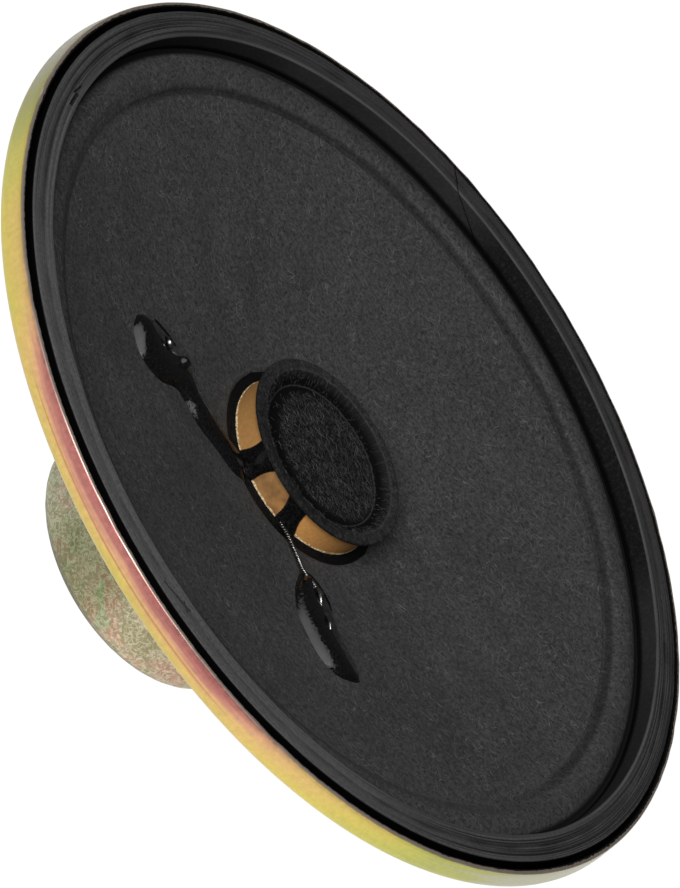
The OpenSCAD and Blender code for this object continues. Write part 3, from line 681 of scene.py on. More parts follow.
def chromate_finish(colours, sizes):
    # Sheet steel, zinc plated and yellow chromated: satin metal under a film that is thinnest, and so rose,
    # under the lip on the near side, and thickens through amber and yellow to olive round the rim
    made, tree = finish_of("Sheet steel, zinc plated and yellow chromated")
    point = where(tree)
    radius, heading = axial(tree, point)
    height = add(tree, "SeparateXYZ", point, out=2)
    drift = add(tree, "TexNoise", point, Scale=0.12, Detail=3.0)
    fine = add(tree, "TexNoise", point, Scale=2.5, Detail=4.0, Roughness=0.6)
    rings = along_rings(tree, radius, height, heading, 5.0, 4.0)
    drawn = add(tree, "TexNoise", rings, Scale=1.0, Detail=3.0)
    drop = add(tree, "Math SUBTRACT", LIP_Z, height)
    depth = add(tree, "MapRange", drop, 0.1, 1.5)
    # Film thickness from 0 to 1: by the angle from the near side, then by the depth below the lip
    shares = [(0.3, 1.0), (0.5, 0.86), (0.76, 0.52), (0.87, 0.4), (0.95, 0.02)]
    stops = [(place, grey(share)) for place, share in shares]
    start = add(tree, "ValToRGB", toward(tree, heading, 266), stops=stops)
    room = add(tree, "Math SUBTRACT", 1.0, start)
    room = add(tree, "Math MULTIPLY", room, room)
    gain = add(tree, "Math MULTIPLY", add(tree, "Math MULTIPLY", depth, room), 0.62)
    film = add(tree, "Math ADD", start, gain)
    wobble = add(tree, "MapRange", drawn, 0.3, 0.7, -0.06, 0.06)
    film = add(tree, "Math ADD", film, wobble)
    patch = add(tree, "MapRange", drift, 0.3, 0.7, -0.07, 0.07)
    film = add(tree, "Math ADD", film, patch, use_clamp=True)
    stops = [(0.0, colours.rose), (0.22, "#b07268"), (0.36, colours.amber), (0.5, "#d0ae6c")]
    stops += [(0.64, colours.yellow), (0.8, "#b4b258"), (0.9, colours.olive), (1.0, "#aeac94")]
    band = add(tree, "ValToRGB", film, stops=stops)
    # A thin brown line where the lip's bend was drawn over the die, on the near side only
    off = distance_from(tree, height, SEAT_TOP_Z + 0.42)
    line = add(tree, "MapRange", off, 0.02, 0.09, 0.5, 0.0)
    line = add(tree, "Math MULTIPLY", line, facing(tree, heading, 266, 0.9, 0.97))
    band = add(tree, "Mix", line, band, "#8f5a22")
    stops = [(0.3, "#b8ac6c"), (0.45, "#c9bc78"), (0.55, "#b9b284"), (0.68, "#c29a74")]
    rest = add(tree, "ValToRGB", drift, stops=stops)
    behind = add(tree, "MapRange", height, LIP_Z - 2.7, LIP_Z - 2.2)
    base = add(tree, "Mix", behind, rest, band)
    # Painted highlight: the rim is paler toward the bearing of 330 degrees; it is also duller round that of
    # 185
    base = toned(tree, facing(tree, heading, 330, 0.5, 0.95), base, grey(1.25))
    base = toned(tree, facing(tree, heading, 185, 0.85, 0.99), base, (0.66, 0.64, 0.6, 1))
    dull = add(tree, "MapRange", fine, 0.3, 0.7, 0.86, 1.06)
    base = add(tree, "Mix MULTIPLY", 1.0, base, dull)
    # Painted shade makes the inside of the lip black, up to a ragged line above the card ring
    ragged_radius = add(tree, "MapRange", fine, 0.3, 0.7, -0.05, 0.05)
    ragged_radius = add(tree, "Math ADD", radius, ragged_radius)
    inner_edge = RIM_R - mm(sizes.sheet) - mm(sizes.lip_lean)
    slant = add(tree, "MapRange", height, SEAT_TOP_Z, LIP_Z, mm(sizes.lip_lean), 0.0)
    crest = add(tree, "MapRange", height, LIP_Z - 0.3, LIP_Z - 0.1, 0.1, 0.15)
    slant = add(tree, "Math ADD", slant, crest)
    slant = add(tree, "Math ADD", slant, inner_edge)
    inside = add(tree, "Math LESS_THAN", ragged_radius, slant)
    above = add(tree, "MapRange", height, SEAT_TOP_Z - 0.5, SEAT_TOP_Z - 0.3)
    inside = add(tree, "Math MULTIPLY", inside, above)
    # A painted highlight along the outer edge of the lip
    lip_crest_highlight = add(tree, "MapRange", height, LIP_Z - 0.12, LIP_Z - 0.06)
    base = add(tree, "Mix", lip_crest_highlight, base, "#b8a99c")
    # Painted shade inside the lip, black and not metallic
    base = add(tree, "Mix", inside, base, "#0a0908")
    rough = add(tree, "MapRange", fine, 0.3, 0.7, 0.3, 0.46)
    metal = add(tree, "MapRange", inside, 0.0, 1.0, 0.7, 0.0)
    return finished(made, base, rough, (0.25, 0.04, drawn), metallic=metal)


def pot_finish():
    # Deep-drawn steel, zinc plated and barrel passivated: a crystalline mottle of green, tan and pink
    made, tree = finish_of("Deep-drawn steel, zinc plated and passivated")
    point = where(tree)
    heading = axial(tree, point)[1]
    height = add(tree, "SeparateXYZ", point, out=2)
    broad = add(tree, "TexNoise", point, Scale=0.3, Detail=3.0, Distortion=0.8)
    curls = add(tree, "TexNoise", point, Scale=2.0, Detail=3.0, Distortion=1.2)
    specks = add(tree, "TexNoise", point, Scale=3.2, Detail=5.0, Roughness=0.75)
    stops = [(0.3, "#7e7d59"), (0.42, "#8a8865"), (0.5, "#938a6c"), (0.58, "#9f7f69"), (0.68, "#85906b")]
    tone = add(tree, "ValToRGB", broad, stops=stops)
    light = add(tree, "MapRange", distance_from(tree, curls, 0.5), 0.0, 0.08, 0.55, 0.0)
    base = add(tree, "Mix", light, tone, "#cdcdb8")
    spread = add(tree, "MapRange", specks, 0.32, 0.68, 0.72, 1.22)
    base = add(tree, "Mix MULTIPLY", 1.0, base, spread)
    # The pot is paler and pinker toward +X, darker and greener on the near side, and darker brown toward the
    # corner at the back
    base = toned(tree, facing(tree, heading, 325, 0.35, 0.95), base, (1.55, 1.42, 1.4, 1))
    base = toned(tree, facing(tree, heading, 258, 0.9, 0.985), base, (0.7, 0.74, 0.62, 1))
    edge = add(tree, "MapRange", height, 1.2, 0.3, 0.0, 0.9)
    base = add(tree, "Mix", edge, base, "#33271b")
    rough = add(tree, "MapRange", specks, 0.3, 0.7, 0.4, 0.66)
    return finished(made, base, rough, (0.35, 0.05, specks), metallic=0.55)


def kraft_finish(colours):
    # Kraft paper, wound on a mandrel: tan with fine fibres, browner where thin glue has soaked in
    made, tree = finish_of("Kraft paper tube, wound")
    point = where(tree)
    heading = axial(tree, point)[1]
    pulp = add(tree, "TexNoise", point, Scale=3.5, Detail=4.0, Roughness=0.65)
    clouds = add(tree, "TexNoise", point, Scale=0.8, Detail=2.0)
    dark = add(tree, "Mix MULTIPLY", 1.0, colours.kraft, (0.7, 0.62, 0.5, 1))
    light = add(tree, "Mix MULTIPLY", 1.0, colours.kraft, (1.3, 1.28, 1.3, 1))
    base = add(tree, "Mix", pulp, dark, light)
    soak = add(tree, "VectorMath DOT_PRODUCT", heading, (0.035, -0.999, 0))
    wet = add(tree, "MapRange", soak, 0.94, 0.975)
    wet = add(tree, "Math MULTIPLY", wet, clouds)
    wet = add(tree, "MapRange", wet, 0.15, 0.6, 0.0, 0.95)
    base = add(tree, "Mix", wet, base, "#6c4c2c")
    # Painted light makes it brighter toward the front at the right, and painted shade darker at the left
    base = toned(tree, facing(tree, heading, 312, 0.7, 0.98), base, (1.35, 1.25, 1.2, 1))
    base = toned(tree, facing(tree, heading, 215, 0.6, 0.98), base, (0.8, 0.78, 0.8, 1))
    return finished(made, base, 0.6, (0.25, 0.03, pulp))


def cut_edge_finish():
    # Cut edge of the kraft collar: pale, undyed fibre ends that catch the light as a thin cream line
    made, tree = finish_of("Kraft paper, cut edge")
    point = where(tree)
    ends = add(tree, "TexNoise", point, Scale=5.0, Detail=3.0)
    tone = add(tree, "ValToRGB", ends, stops=[(0.38, "#8a6a40"), (0.62, "#dccba4")])
    return finished(made, tone, 0.65)


def glue_finish(colours, name, rough, reflection_share=0.0, shine=0.5):
    # Rubber-based glue, laid wet and skinned over: black with a clear wet gloss and soft ripples
    made, tree = finish_of(name)
    point = where(tree)
    skin = add(tree, "TexNoise", point, Scale=1.3, Detail=3.0, Roughness=0.6)
    dust = add(tree, "TexNoise", point, Scale=6.0, Detail=3.0, Roughness=0.7)
    tone = add(tree, "ValToRGB", dust, stops=[(0.4, colours.glue), (0.8, "#1a1a1b")])
    # Painted reflection: grey and matt where the skin slopes down to the front at the left
    slopes = add(tree, "NewGeometry")
    lean = add(tree, "VectorMath DOT_PRODUCT", slopes, (-0.333, -0.748, 0.574))
    ragged = add(tree, "MapRange", dust, 0.3, 0.7, -0.06, 0.06)
    lean = add(tree, "Math ADD", lean, ragged)
    reflection_band = add(tree, "MapRange", lean, 0.85, 0.93, 0.0, reflection_share)
    base = add(tree, "Mix", reflection_band, tone, "#3c3c3d")
    matt = add(tree, "MapRange", dust, 0.35, 0.75, rough, rough + 0.16)
    matt = add(tree, "MapRange", reflection_band, 0.0, 1.0, matt, 0.75)
    # On the slopes toward +Y the skin is matt with lint
    away = add(tree, "VectorMath DOT_PRODUCT", slopes, (0, 1, 0))
    level = add(tree, "MapRange", away, 0.1, 0.4, shine, 0.0)
    return finished(made, base, matt, (0.35, 0.12, skin), specular=level)


def thin_glue_finish():
    # The same glue where it ran out thin and sank into the paper: dark grey, nearly matt, and cloudy
    made, tree = finish_of("Black rubber glue, run out thin")
    point = where(tree)
    cloud = add(tree, "TexNoise", point, Scale=2.4, Detail=5.0, Roughness=0.75)
    tone = add(tree, "ValToRGB", cloud, stops=[(0.35, "#222223"), (0.65, "#404041")])
    return finished(made, tone, 0.7, (0.4, 0.05, cloud), specular=0.1)


def metal_finish(name, light, dark, rough, scale):
    # A soft metal surface: two tones of tarnish in patches, and fine handling marks in its gloss
    made, tree = finish_of(name)
    point = where(tree)
    tarnish = add(tree, "TexNoise", point, Scale=scale, Detail=4.0, Roughness=0.6)
    marks = add(tree, "TexNoise", point, Scale=scale * 6, Detail=3.0)
    tone = add(tree, "ValToRGB", tarnish, stops=[(0.32, dark), (0.66, light)])
    gloss = add(tree, "MapRange", marks, 0.3, 0.7, rough * 0.75, rough * 1.35)
    return finished(made, tone, gloss, (0.2, 0.03, marks), metallic=1.0)


def laminate_finish(colours):
    # Paper laminate, pressed with resin and punched: brown, with the paper's long cloudy grain
    made, tree = finish_of("Paper laminate board, pressed")
    point = where(tree)
    stretched = add(tree, "Mapping", point, Scale=(0.4, 2.4, 2.4))
    grain = add(tree, "TexNoise", stretched, Scale=1.2, Detail=5.0, Roughness=0.65)
    dark = add(tree, "Mix MULTIPLY", 1.0, colours.laminate, (0.6, 0.55, 0.5, 1))
    light = add(tree, "Mix MULTIPLY", 1.0, colours.laminate, (1.3, 1.3, 1.3, 1))
    base = add(tree, "Mix", grain, dark, light)
    return finished(made, base, 0.42, (0.15, 0.03, grain))


def spider_finish():
    # Open cotton weave, stiffened with resin and pressed: amber threads of 0.35 mm with dark gaps
    made, tree = finish_of("Cotton weave, resin stiffened")
    point = where(tree)
    threads = [
        add(tree, "TexWave", point, Scale=0.45, Distortion=0.4, bands_direction=way, out=1) for way in "XY"
    ]
    weave = add(tree, "Math MAXIMUM", *threads)
    tone = add(tree, "ValToRGB", weave, stops=[(0.3, "#4a3413"), (0.75, "#b78e4a")])
    return finished(made, tone, 0.6, (0.6, 0.08, weave))


def floor_finish():
    # White sweep lit from below, as for a catalogue picture: it stays white right up to the object
    made, tree = finish_of("White acrylic sweep, lit")
    cloud = add(tree, "TexNoise", add(tree, "TexCoord"), Scale=3.0, Detail=2.0)
    tone = add(tree, "ValToRGB", cloud, stops=[(0.3, "#2a2a2a"), (0.7, "#303030")])
    glow = {"Emission Color": "#ffffff", "Emission Strength": 1.0}
    feed(tree, tree.nodes["Principled BSDF"], glow)
    return finished(made, tone, 0.9)


def settings():
    """The sizes and the colours as they are set."""
    return bpy.context.scene.speaker_sizes, bpy.context.scene.speaker_colours


def mm(value):
    """A length of the property group, in mm."""
    return value / MM


def polar(radius, bearing, z):
    """The point at a radius, a bearing in degrees and a height."""
    return radius * math.cos(math.radians(bearing)), radius * math.sin(math.radians(bearing)), z


def cone_rise(sizes):
    """How much the cone's front rises for each mm of radius."""
    return (CONE_EDGE_Z - mm(sizes.neck_z)) / (CONE_EDGE_R - mm(sizes.neck_r))


def cone_height(radius, sizes):
    """Height of the cone's front at a radius, in mm."""
    return mm(sizes.neck_z) + (radius - mm(sizes.neck_r)) * cone_rise(sizes)


def on_cone(x, y, up, sizes):
    """A point in mm at a height up over the cone's front."""
    radius = math.hypot(x, y)
    slope = math.atan(cone_rise(sizes))
    lean = -math.sin(slope) * up / radius
    return np.array([x + x * lean, y + y * lean, cone_height(radius, sizes) + up * math.cos(slope)])


# The rings of the surround and the spider are cut into this many sectors
SECTORS = 24


def bending_ring(name, strip, steps, finish, node, slot, outer_r, inner_r, z):
    """A ring in sectors, each a piece of its own; the last three are in metres, and are not used."""
    wedge = 360 / SECTORS
    for i in range(SECTORS):
        verts, faces = revolve(strip, steps, i * wedge, wedge)
        made = piece(f"{name}_{i:02d}", verts, faces, finish, None, [node])
        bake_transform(made)


class SPEAKER_OT_basket(bpy.types.Operator):
    """Build the pressed-steel basket with its rim tray, windows and hub"""

    bl_idname = "speaker.basket"
    bl_label = "Basket"

    def execute(self, context):
        sizes, colours = settings()
        sheet = mm(sizes.sheet)
        lip_r = RIM_R - sheet
        seat_z = SEAT_TOP_Z - mm(sizes.surround_t)
        seat_in = lip_r - mm(sizes.seat_w)
        floor_z = BOARD_TOP_Z + sheet
        hub_front_z = span("front_plate")[1].z - 0.35
        hub_r = mm(sizes.hub_r)
        path = rounded(
            [
                (lip_r, LIP_Z),
                (lip_r, seat_z),
                (seat_in, seat_z),
                (seat_in - 0.3, seat_z - mm(sizes.wall_h)),
                (mm(sizes.floor_r), floor_z),
                (hub_r, floor_z),
                (hub_r - 0.5, hub_front_z),
                (7.8, hub_front_z),
            ],
            [0, mm(sizes.lip_bend)] + [mm(sizes.bend)] * 5 + [0],
        )
        rim = outline(path, sheet, 1.2, 0.12)
        dent = 0.02

        def dented(radius, height, bearing):
            # The lip leans in over the card ring, waves a little, and its edge is slightly dinged
            high = np.clip((height - SEAT_TOP_Z) / (LIP_Z - SEAT_TOP_Z), 0, 1)
            waves = dent * (1 + ripple(bearing, radius, 4, (2, 9, 4)))
            radius = radius - high * mm(sizes.lip_lean) - high * waves
            dings = 1 + ripple(bearing, radius, 5, (20, 90, 7))
            height = height - np.where(height > LIP_Z - 0.2, dent, 0) * dings
            return np.minimum(radius, RIM_R), np.minimum(height, LIP_Z)

        verts, faces = revolve(rim, 240, shape=dented)
        corner = 1.4
        side = mm(sizes.rib_w) / 2 + corner
        far, near = mm(sizes.window_out) - corner, mm(sizes.window_in) + corner
        far_b, near_b = math.asin(side / far), math.asin(side / near)
        quarter = math.pi / 2
        cutters = []
        for turn in range(4):
            start = turn * quarter

            def arc(centre_r, centre_b, radius, a, b, steps=10):
                centre = centre_r * np.array([math.cos(centre_b + start), math.sin(centre_b + start)])
                return [
                    tuple(centre + radius * np.array([math.cos(t + start), math.sin(t + start)]))
                    for t in np.linspace(a, b, steps)
                ]

            points = arc(0, 0, far + corner, far_b, quarter - far_b, 28)
            points += arc(far, quarter - far_b, corner, quarter - far_b, 2 * quarter)[1:]
            points += arc(near, quarter - near_b, corner, 2 * quarter, 3 * quarter - near_b)
            points += arc(0, 0, near - corner, quarter - near_b, near_b, 20)[1:]
            points += arc(near, near_b, corner, 2 * quarter + near_b, 3 * quarter)[1:]
            points += arc(far, far_b, corner, 3 * quarter, 4 * quarter + far_b)[:-1]
            cutters.append(prism(points, floor_z - 1.2, seat_z - sheet + 0.1))
        steel = chromate_finish(colours, sizes)
        windows = joined(cutters)
        piece("basket_pressing", verts, faces, steel, "frame", ["basket"], 40, cut=windows)
        return {"FINISHED"}


class SPEAKER_OT_gasket(bpy.types.Operator):
    """Build the laminated card ring with its scarf seam and its nicks"""

    bl_idname = "speaker.gasket"
    bl_label = "Gasket ring"

    def execute(self, context):
        sizes, colours = settings()
        inner = GASKET_R - mm(sizes.gasket_w)
        low, high = SEAT_TOP_Z, FRONT_Z
        # The face from its outer edge in: how far in from that edge, and how far below the front
        face = [(0, 0.2), (0.05, 0.08), (0.16, 0.02), (0.5, 0.01), (0.9, 0.03), (1.15, 0.05), (1.4, 0.01)]
        ring = [(GASKET_R, low)] + [(GASKET_R - off, high - drop) for off, drop in face]
        # Then its rounded inner edge, from the inner radius out
        edge = [(0.3, 0), (0.12, 0.01), (0.03, 0.06), (0, 0.16)]
        ring += [(inner + off, high - drop) for off, drop in edge] + [(inner, low)]

        def uneven(radius, height, bearing):
            top = (height > high - 0.3) * 0.012
            height = height - top * (1 + ripple(bearing, radius, 11, (9, 60, 8), 2.0))
            radius = radius - 0.02 * (1 + ripple(bearing, 0 * radius, 12, (2, 14, 5)))
            return radius, np.minimum(height, high)

        verts, faces = revolve(ring, 480, shape=uneven)
        # The scarf seam runs down the inner wall from the first to the second place, and out over the face
        places = [(inner, 110.6, high), (inner, 104.6, low + 0.5), (GASKET_R, 112.5, high)]
        a, b, c = (np.array(polar(*place)) for place in places)
        normal = unit(np.cross(b - a, c - a))
        along = unit(b - a)
        turn = np.stack([along, normal, np.cross(along, normal)], -1)
        cutters = [block((a + c) / 2, (12, 0.06, 5), turn)]
        # Nicks in the face: bearing, radius, size, slant and lean
        for bearing, radius, size, slant, lean in (
            (198.8, 30.5, (1.7, 0.24, 0.4), 87, 20),
            (196.6, 30.62, (1.3, 0.14, 0.24), 80, -15),
            (274.2, 31.0, (2.7, 0.13, 0.34), 103, 12),
            (275.8, 30.86, (0.9, 0.12, 0.3), 60, 12),
            (272.2, 31.2, (0.7, 0.1, 0.3), 75, 12),
        ):
            turn = Matrix.Rotation(math.radians(bearing), 3, "Z")
            turn = turn @ Matrix.Rotation(math.radians(slant), 3, "Z")
            turn = turn @ Matrix.Rotation(math.radians(lean), 3, "X")
            cutters.append(block(polar(radius, bearing, high), size, turn))
        card = card_finish(colours, sizes)
        cuts = joined(cutters)
        piece("card_gasket", verts, faces, card, "frame", ["gasket_ring"], 50, cut=cuts)
        return {"FINISHED"}


def surround_front(sizes):
    """The front of the surround in mm: its roll from the outer edge in, and the point where it ends."""
    foot_r = mm(sizes.surround_foot)
    inner = mm(sizes.surround_in)
    lift = mm(sizes.surround_t) + 0.02
    up = lift / math.cos(math.atan(cone_rise(sizes)))
    a = np.array([foot_r, SEAT_TOP_Z])
    b = np.array([CONE_EDGE_R, CONE_EDGE_Z + up])
    top = np.array([0, mm(sizes.roll_h)])
    roll = [a + (b - a) * t + top * math.sin(math.pi * t) for t in np.linspace(0, 1, 19)]
    land = np.array([inner, cone_height(inner, sizes) + up * 0.12])
    return roll, land


class SPEAKER_OT_surround(bpy.types.Operator):
    """Build the doped cloth surround: its flat seat, and its roll in sectors"""

    bl_idname = "speaker.surround"
    bl_label = "Surround"

    def execute(self, context):
        sizes, colours = settings()
        cloth = pulp_paper(colours, sizes, "Treated paper edge, doped", 0.08, 0.8)
        thickness = mm(sizes.surround_t)
        roll, land = surround_front(sizes)
        seat = [np.array([SURROUND_R, SEAT_TOP_Z]), roll[0]]
        verts, faces = revolve(outline(seat, thickness, 0.8), 240)
        piece("surround_seat", verts, faces, cloth, "frame", ["surround"])
        strip = outline(roll + [land], thickness, 0.3)
        ends = (sizes.surround_foot, CONE_EDGE_R * MM, SEAT_TOP_Z * MM)
        bending_ring("surround_roll", strip, 12, cloth, "surround", "treated_cloth", *ends)
        return {"FINISHED"}


class SPEAKER_OT_cone(bpy.types.Operator):
    """Build the paper cone with its groove, its dip and its collar"""

    bl_idname = "speaker.cone"
    bl_label = "Cone"

    def execute(self, context):
        sizes, colours = settings()
        groove_out = mm(sizes.surround_in)
        groove_in = groove_out - 0.4
        neck_r, neck_z = mm(sizes.neck_r), mm(sizes.neck_z)
        dip = neck_z - mm(sizes.neck_dip)
        edge = [(CONE_EDGE_R, CONE_EDGE_Z), (groove_out, cone_height(groove_out, sizes))]
        groove = [(r, cone_height(r, sizes)) for r in np.linspace(groove_out - 0.1, groove_in, 4)]
        inner = rounded(
            [
                (groove_in - 0.4, cone_height(groove_in - 0.4, sizes)),
                (neck_r, neck_z),
                (FORMER_R, dip),
                (FORMER_R, dip - 0.8),
            ],
            [0, 0.4, 0.35, 0],
        )
        strip = outline([np.array(p) for p in edge + groove] + inner, mm(sizes.cone_t), 0.5)

        def uneven(radius, height, bearing):
            # The paper is a little uneven between its neck and its groove
            free = np.clip((radius - neck_r - 0.5) / 2, 0, 1) * np.clip((groove_in - 0.3 - radius) / 2, 0, 1)
            height = height - free * 0.035 * (1 + ripple(bearing, radius, 21, (2, 22, 9), 1.2))
            # The groove is pressed in deepest on the side of +Y and fades out on the other side
            across = np.clip(1 - ((radius - groove_out + 0.2) / 0.2) ** 2, 0, 1)
            return radius, height - 0.09 * across * np.clip((np.sin(bearing) + 0.35) / 0.5, 0, 1)

        verts, faces = revolve(strip, 360, shape=uneven)
        paper = pulp_paper(colours, sizes, "Paper pulp cone, pressed and dyed", 0.14, 0.88)
        piece("paper_cone", verts, faces, paper, "cone", ["cone"], 30)
        return {"FINISHED"}


def hair_mesh(starts, headings, lengths, widths, curls, segments=4):
    """Many thin closed three-sided hairs: start points, unit directions, lengths, widths and curls."""
    parts = []
    for start, heading, long, wide, curl in zip(starts, headings, lengths, widths, curls):
        t = np.linspace(0, 1, segments + 1)
        aside = np.cross(heading, (0, 0, 1.0))
        aside /= np.linalg.norm(aside) + 1e-9
        line = start + np.outer(t * long, heading) + np.outer(np.sin(math.pi * t) * long * curl, aside)
        line[:, 2] += -0.35 * (t**2) * long * abs(curl)
        parts.append(tube(line, wide / 2 * (1 - 0.5 * t), 3))
    return joined(parts)


class SPEAKER_OT_dust_cap(bpy.types.Operator):
    """Build the felt dust cap with its flange and its dish, and the hairs that stand out of it"""

    bl_idname = "speaker.dust_cap"
    bl_label = "Dust cap"

    def execute(self, context):
        sizes, colours = settings()
        thick = 0.35
        flange_z, floor_z = CAP_TOP_Z, CAP_LOW_Z + thick
        # The front from the flange's edge in: the flange, the lip of the dish, its foot and its middle
        front = [(CAP_R - 0.14, flange_z), (CAP_R - 0.5, flange_z), (DISH_R + 0.2, flange_z)]
        lip = [(0.06, 0.015), (-0.06, 0.08), (-0.16, 0.17)]
        front += [(DISH_R + off, flange_z - drop) for off, drop in lip]
        foot = [(0.22, 0.2), (0.1, 0.1), (0, 0.05), (-0.1, 0.02), (-0.6, 0), (-1.1, 0.05)]
        front += [(DISH_FLOOR_R + off, floor_z + up) for off, up in foot]
        front += [(3.4, floor_z + 0.1), (2.0, floor_z + 0.13), (0.0, floor_z + 0.14)]
        front = [np.array(p) for p in front]
        rim = [(CAP_R - 0.12, FORMER_TOP_Z), (CAP_R, FORMER_TOP_Z + 0.08)]
        rim += [(CAP_R, flange_z - 0.1), (CAP_R - 0.05, flange_z - 0.03)]
        back = [(0.0, floor_z - thick), (DISH_FLOOR_R + 0.1, floor_z - thick), (DISH_R + 0.09, FORMER_TOP_Z)]
        path = [np.array(p) for p in rim] + refined(front, 0.22) + [np.array(p) for p in back]

        def fuzzy(radius, height, bearing):
            felt = np.clip((DISH_R + 0.1 - radius) / 0.3, 0, 1) * (height > floor_z - 0.1)
            wave = ripple(bearing, radius, 31, (12, 110, 9), 4.0)
            radius = radius + felt * np.clip(radius / 5, 0, 1) * 0.03 * wave
            height = height - felt * 0.025 * (1 + ripple(bearing, radius, 32, (3, 90, 9), 9.0))
            return np.minimum(radius, CAP_R), np.minimum(height, CAP_TOP_Z)

        verts, faces = revolve(path, 300, shape=fuzzy)
        felt = felt_finish(colours)
        piece("felt_cap", verts, faces, felt, "cone", ["dust_cap"], 60)
        draw = np.random.RandomState(33)
        count = 3000
        radius = (DISH_FLOOR_R - 0.25) * np.sqrt(draw.rand(count))
        wall = draw.rand(count) < 0.15
        radius[wall] = DISH_FLOOR_R + (DISH_R - DISH_FLOOR_R) * draw.rand(int(wall.sum()))
        bearing = 2 * math.pi * draw.rand(count)
        # Where shade is painted on the floor, on the near side of the dish, few hairs stand up
        x, y = radius * np.cos(bearing) - 0.25, radius * np.sin(bearing) - 0.65
        shown = wall | (np.hypot(x, y) < 4.8) | (draw.rand(count) < 0.04)
        radius, bearing, wall = radius[shown], bearing[shown], wall[shown]
        count = len(radius)
        profile = np.array(sorted((p[0], p[1]) for p in front))
        base = np.interp(radius, profile[:, 0], profile[:, 1])
        starts = placed(radius, bearing, base - 0.02)
        flat = 2 * math.pi * draw.rand(count)
        flat[wall] = bearing[wall] + 0.35 * draw.randn(int(wall.sum()))
        rise = 0.12 + 0.3 * draw.rand(count)
        rise[wall] = 0.75 + 0.25 * draw.rand(int(wall.sum()))
        headings = placed(np.cos(rise), flat, np.sin(rise))
        lengths = mm(sizes.felt_hair_l) * (0.4 + 0.9 * draw.rand(count))
        lengths[wall] *= 0.8
        widths = mm(sizes.felt_hair_w) * (0.7 + 0.7 * draw.rand(count))
        tips = starts[:, 2] + lengths * np.sin(rise)
        lengths = np.where(tips > CAP_TOP_Z + 0.05, lengths * 0.4, lengths)
        # Short hairs lie flat on the flange
        more = 1500
        radius = DISH_R - 0.05 + (CAP_R - DISH_R) * draw.rand(more)
        bearing = 2 * math.pi * draw.rand(more)
        starts = np.concatenate([starts, placed(radius, bearing, np.full(more, flange_z - 0.01))])
        flat, rise = 2 * math.pi * draw.rand(more), 0.02 + 0.12 * draw.rand(more)
        headings = np.concatenate([headings, placed(np.cos(rise), flat, np.sin(rise))])
        lengths = np.concatenate([lengths, mm(sizes.felt_hair_l) * (0.3 + 0.6 * draw.rand(more))])
        widths = np.concatenate([widths, mm(sizes.felt_hair_w) * (0.6 + 0.6 * draw.rand(more))])
        verts, faces = hair_mesh(starts, headings, lengths, widths, 0.35 * draw.randn(count + more))
        piece("felt_hairs", verts, faces, hair_finish(colours), "cone", (), 80, weld=False)
        return {"FINISHED"}


class SPEAKER_OT_voice_coil(bpy.types.Operator):
    """Build the kraft former with its collar, and dress the winding"""

    bl_idname = "speaker.voice_coil"
    bl_label = "Voice coil"

    def execute(self, context):
        sizes, colours = settings()
        top = FORMER_TOP_Z
        inner = FORMER_R - 0.15
        corners = [(FORMER_R, top), (FORMER_R, FORMER_LOW_Z), (inner, FORMER_LOW_Z), (inner, top)]
        verts, faces = revolve(refined([np.array(p) for p in corners], 1.0), 240)
        kraft = kraft_finish(colours)
        piece("kraft_former", verts, faces, kraft, "cone", ["voice_coil_former"])
        foot = mm(sizes.neck_z) + 0.05
        profile = [(0.01, -0.12), (0.05, -0.1), (0.06, 0.02), (0.04, 0.06), (0.01, 0.07)]
        hem = [(FORMER_R + off, foot + up) for off, up in profile]

        def torn(radius, height, bearing):
            return radius, height + (height > foot) * 0.035 * ripple(bearing, radius, 41, (9, 70, 7))

        verts, faces = revolve(hem, 240, shape=torn)
        piece("kraft_hem", verts, faces, cut_edge_finish(), "cone", ())
        copper = metal_finish("Copper wire, enamelled", "#c77a4a", "#7d4022", 0.35, 2.0)
        dress("voice_coil_winding", copper)
        return {"FINISHED"}


class SPEAKER_OT_spider(bpy.types.Operator):
    """Build the corrugated spider: its seat, its collar, and its waves in sectors"""

    bl_idname = "speaker.spider"
    bl_label = "Spider"

    def execute(self, context):
        sizes = context.scene.speaker_sizes
        weave = spider_finish()
        thickness = 0.2
        front = BOARD_TOP_Z + mm(sizes.sheet) + thickness
        land, root = mm(sizes.hub_r) + 0.7, FORMER_R + 0.8
        verts, faces = revolve(outline([(SPIDER_R, front), (land, front)], thickness, 0.6), 200)
        piece("spider_seat", verts, faces, weave, "frame", ["spider"])
        collar = [(root, front), (FORMER_R + thickness, front), (FORMER_R + thickness, front + 0.7)]
        verts, faces = revolve(outline(collar, thickness, 0.4), 160)
        piece("spider_collar", verts, faces, weave, "cone", ["spider"])
        crest, waves = 0.4, 3
        line = [
            np.array([land + (root - land) * t, front + crest * math.sin(waves * 2 * math.pi * t)])
            for t in np.linspace(0, 1, 49)
        ]
        strip = outline(line, thickness, 0.3)
        ends = (land * MM, root * MM, front * MM)
        bending_ring("spider_wave", strip, 8, weave, "spider", "spider_cloth", *ends)
        return {"FINISHED"}


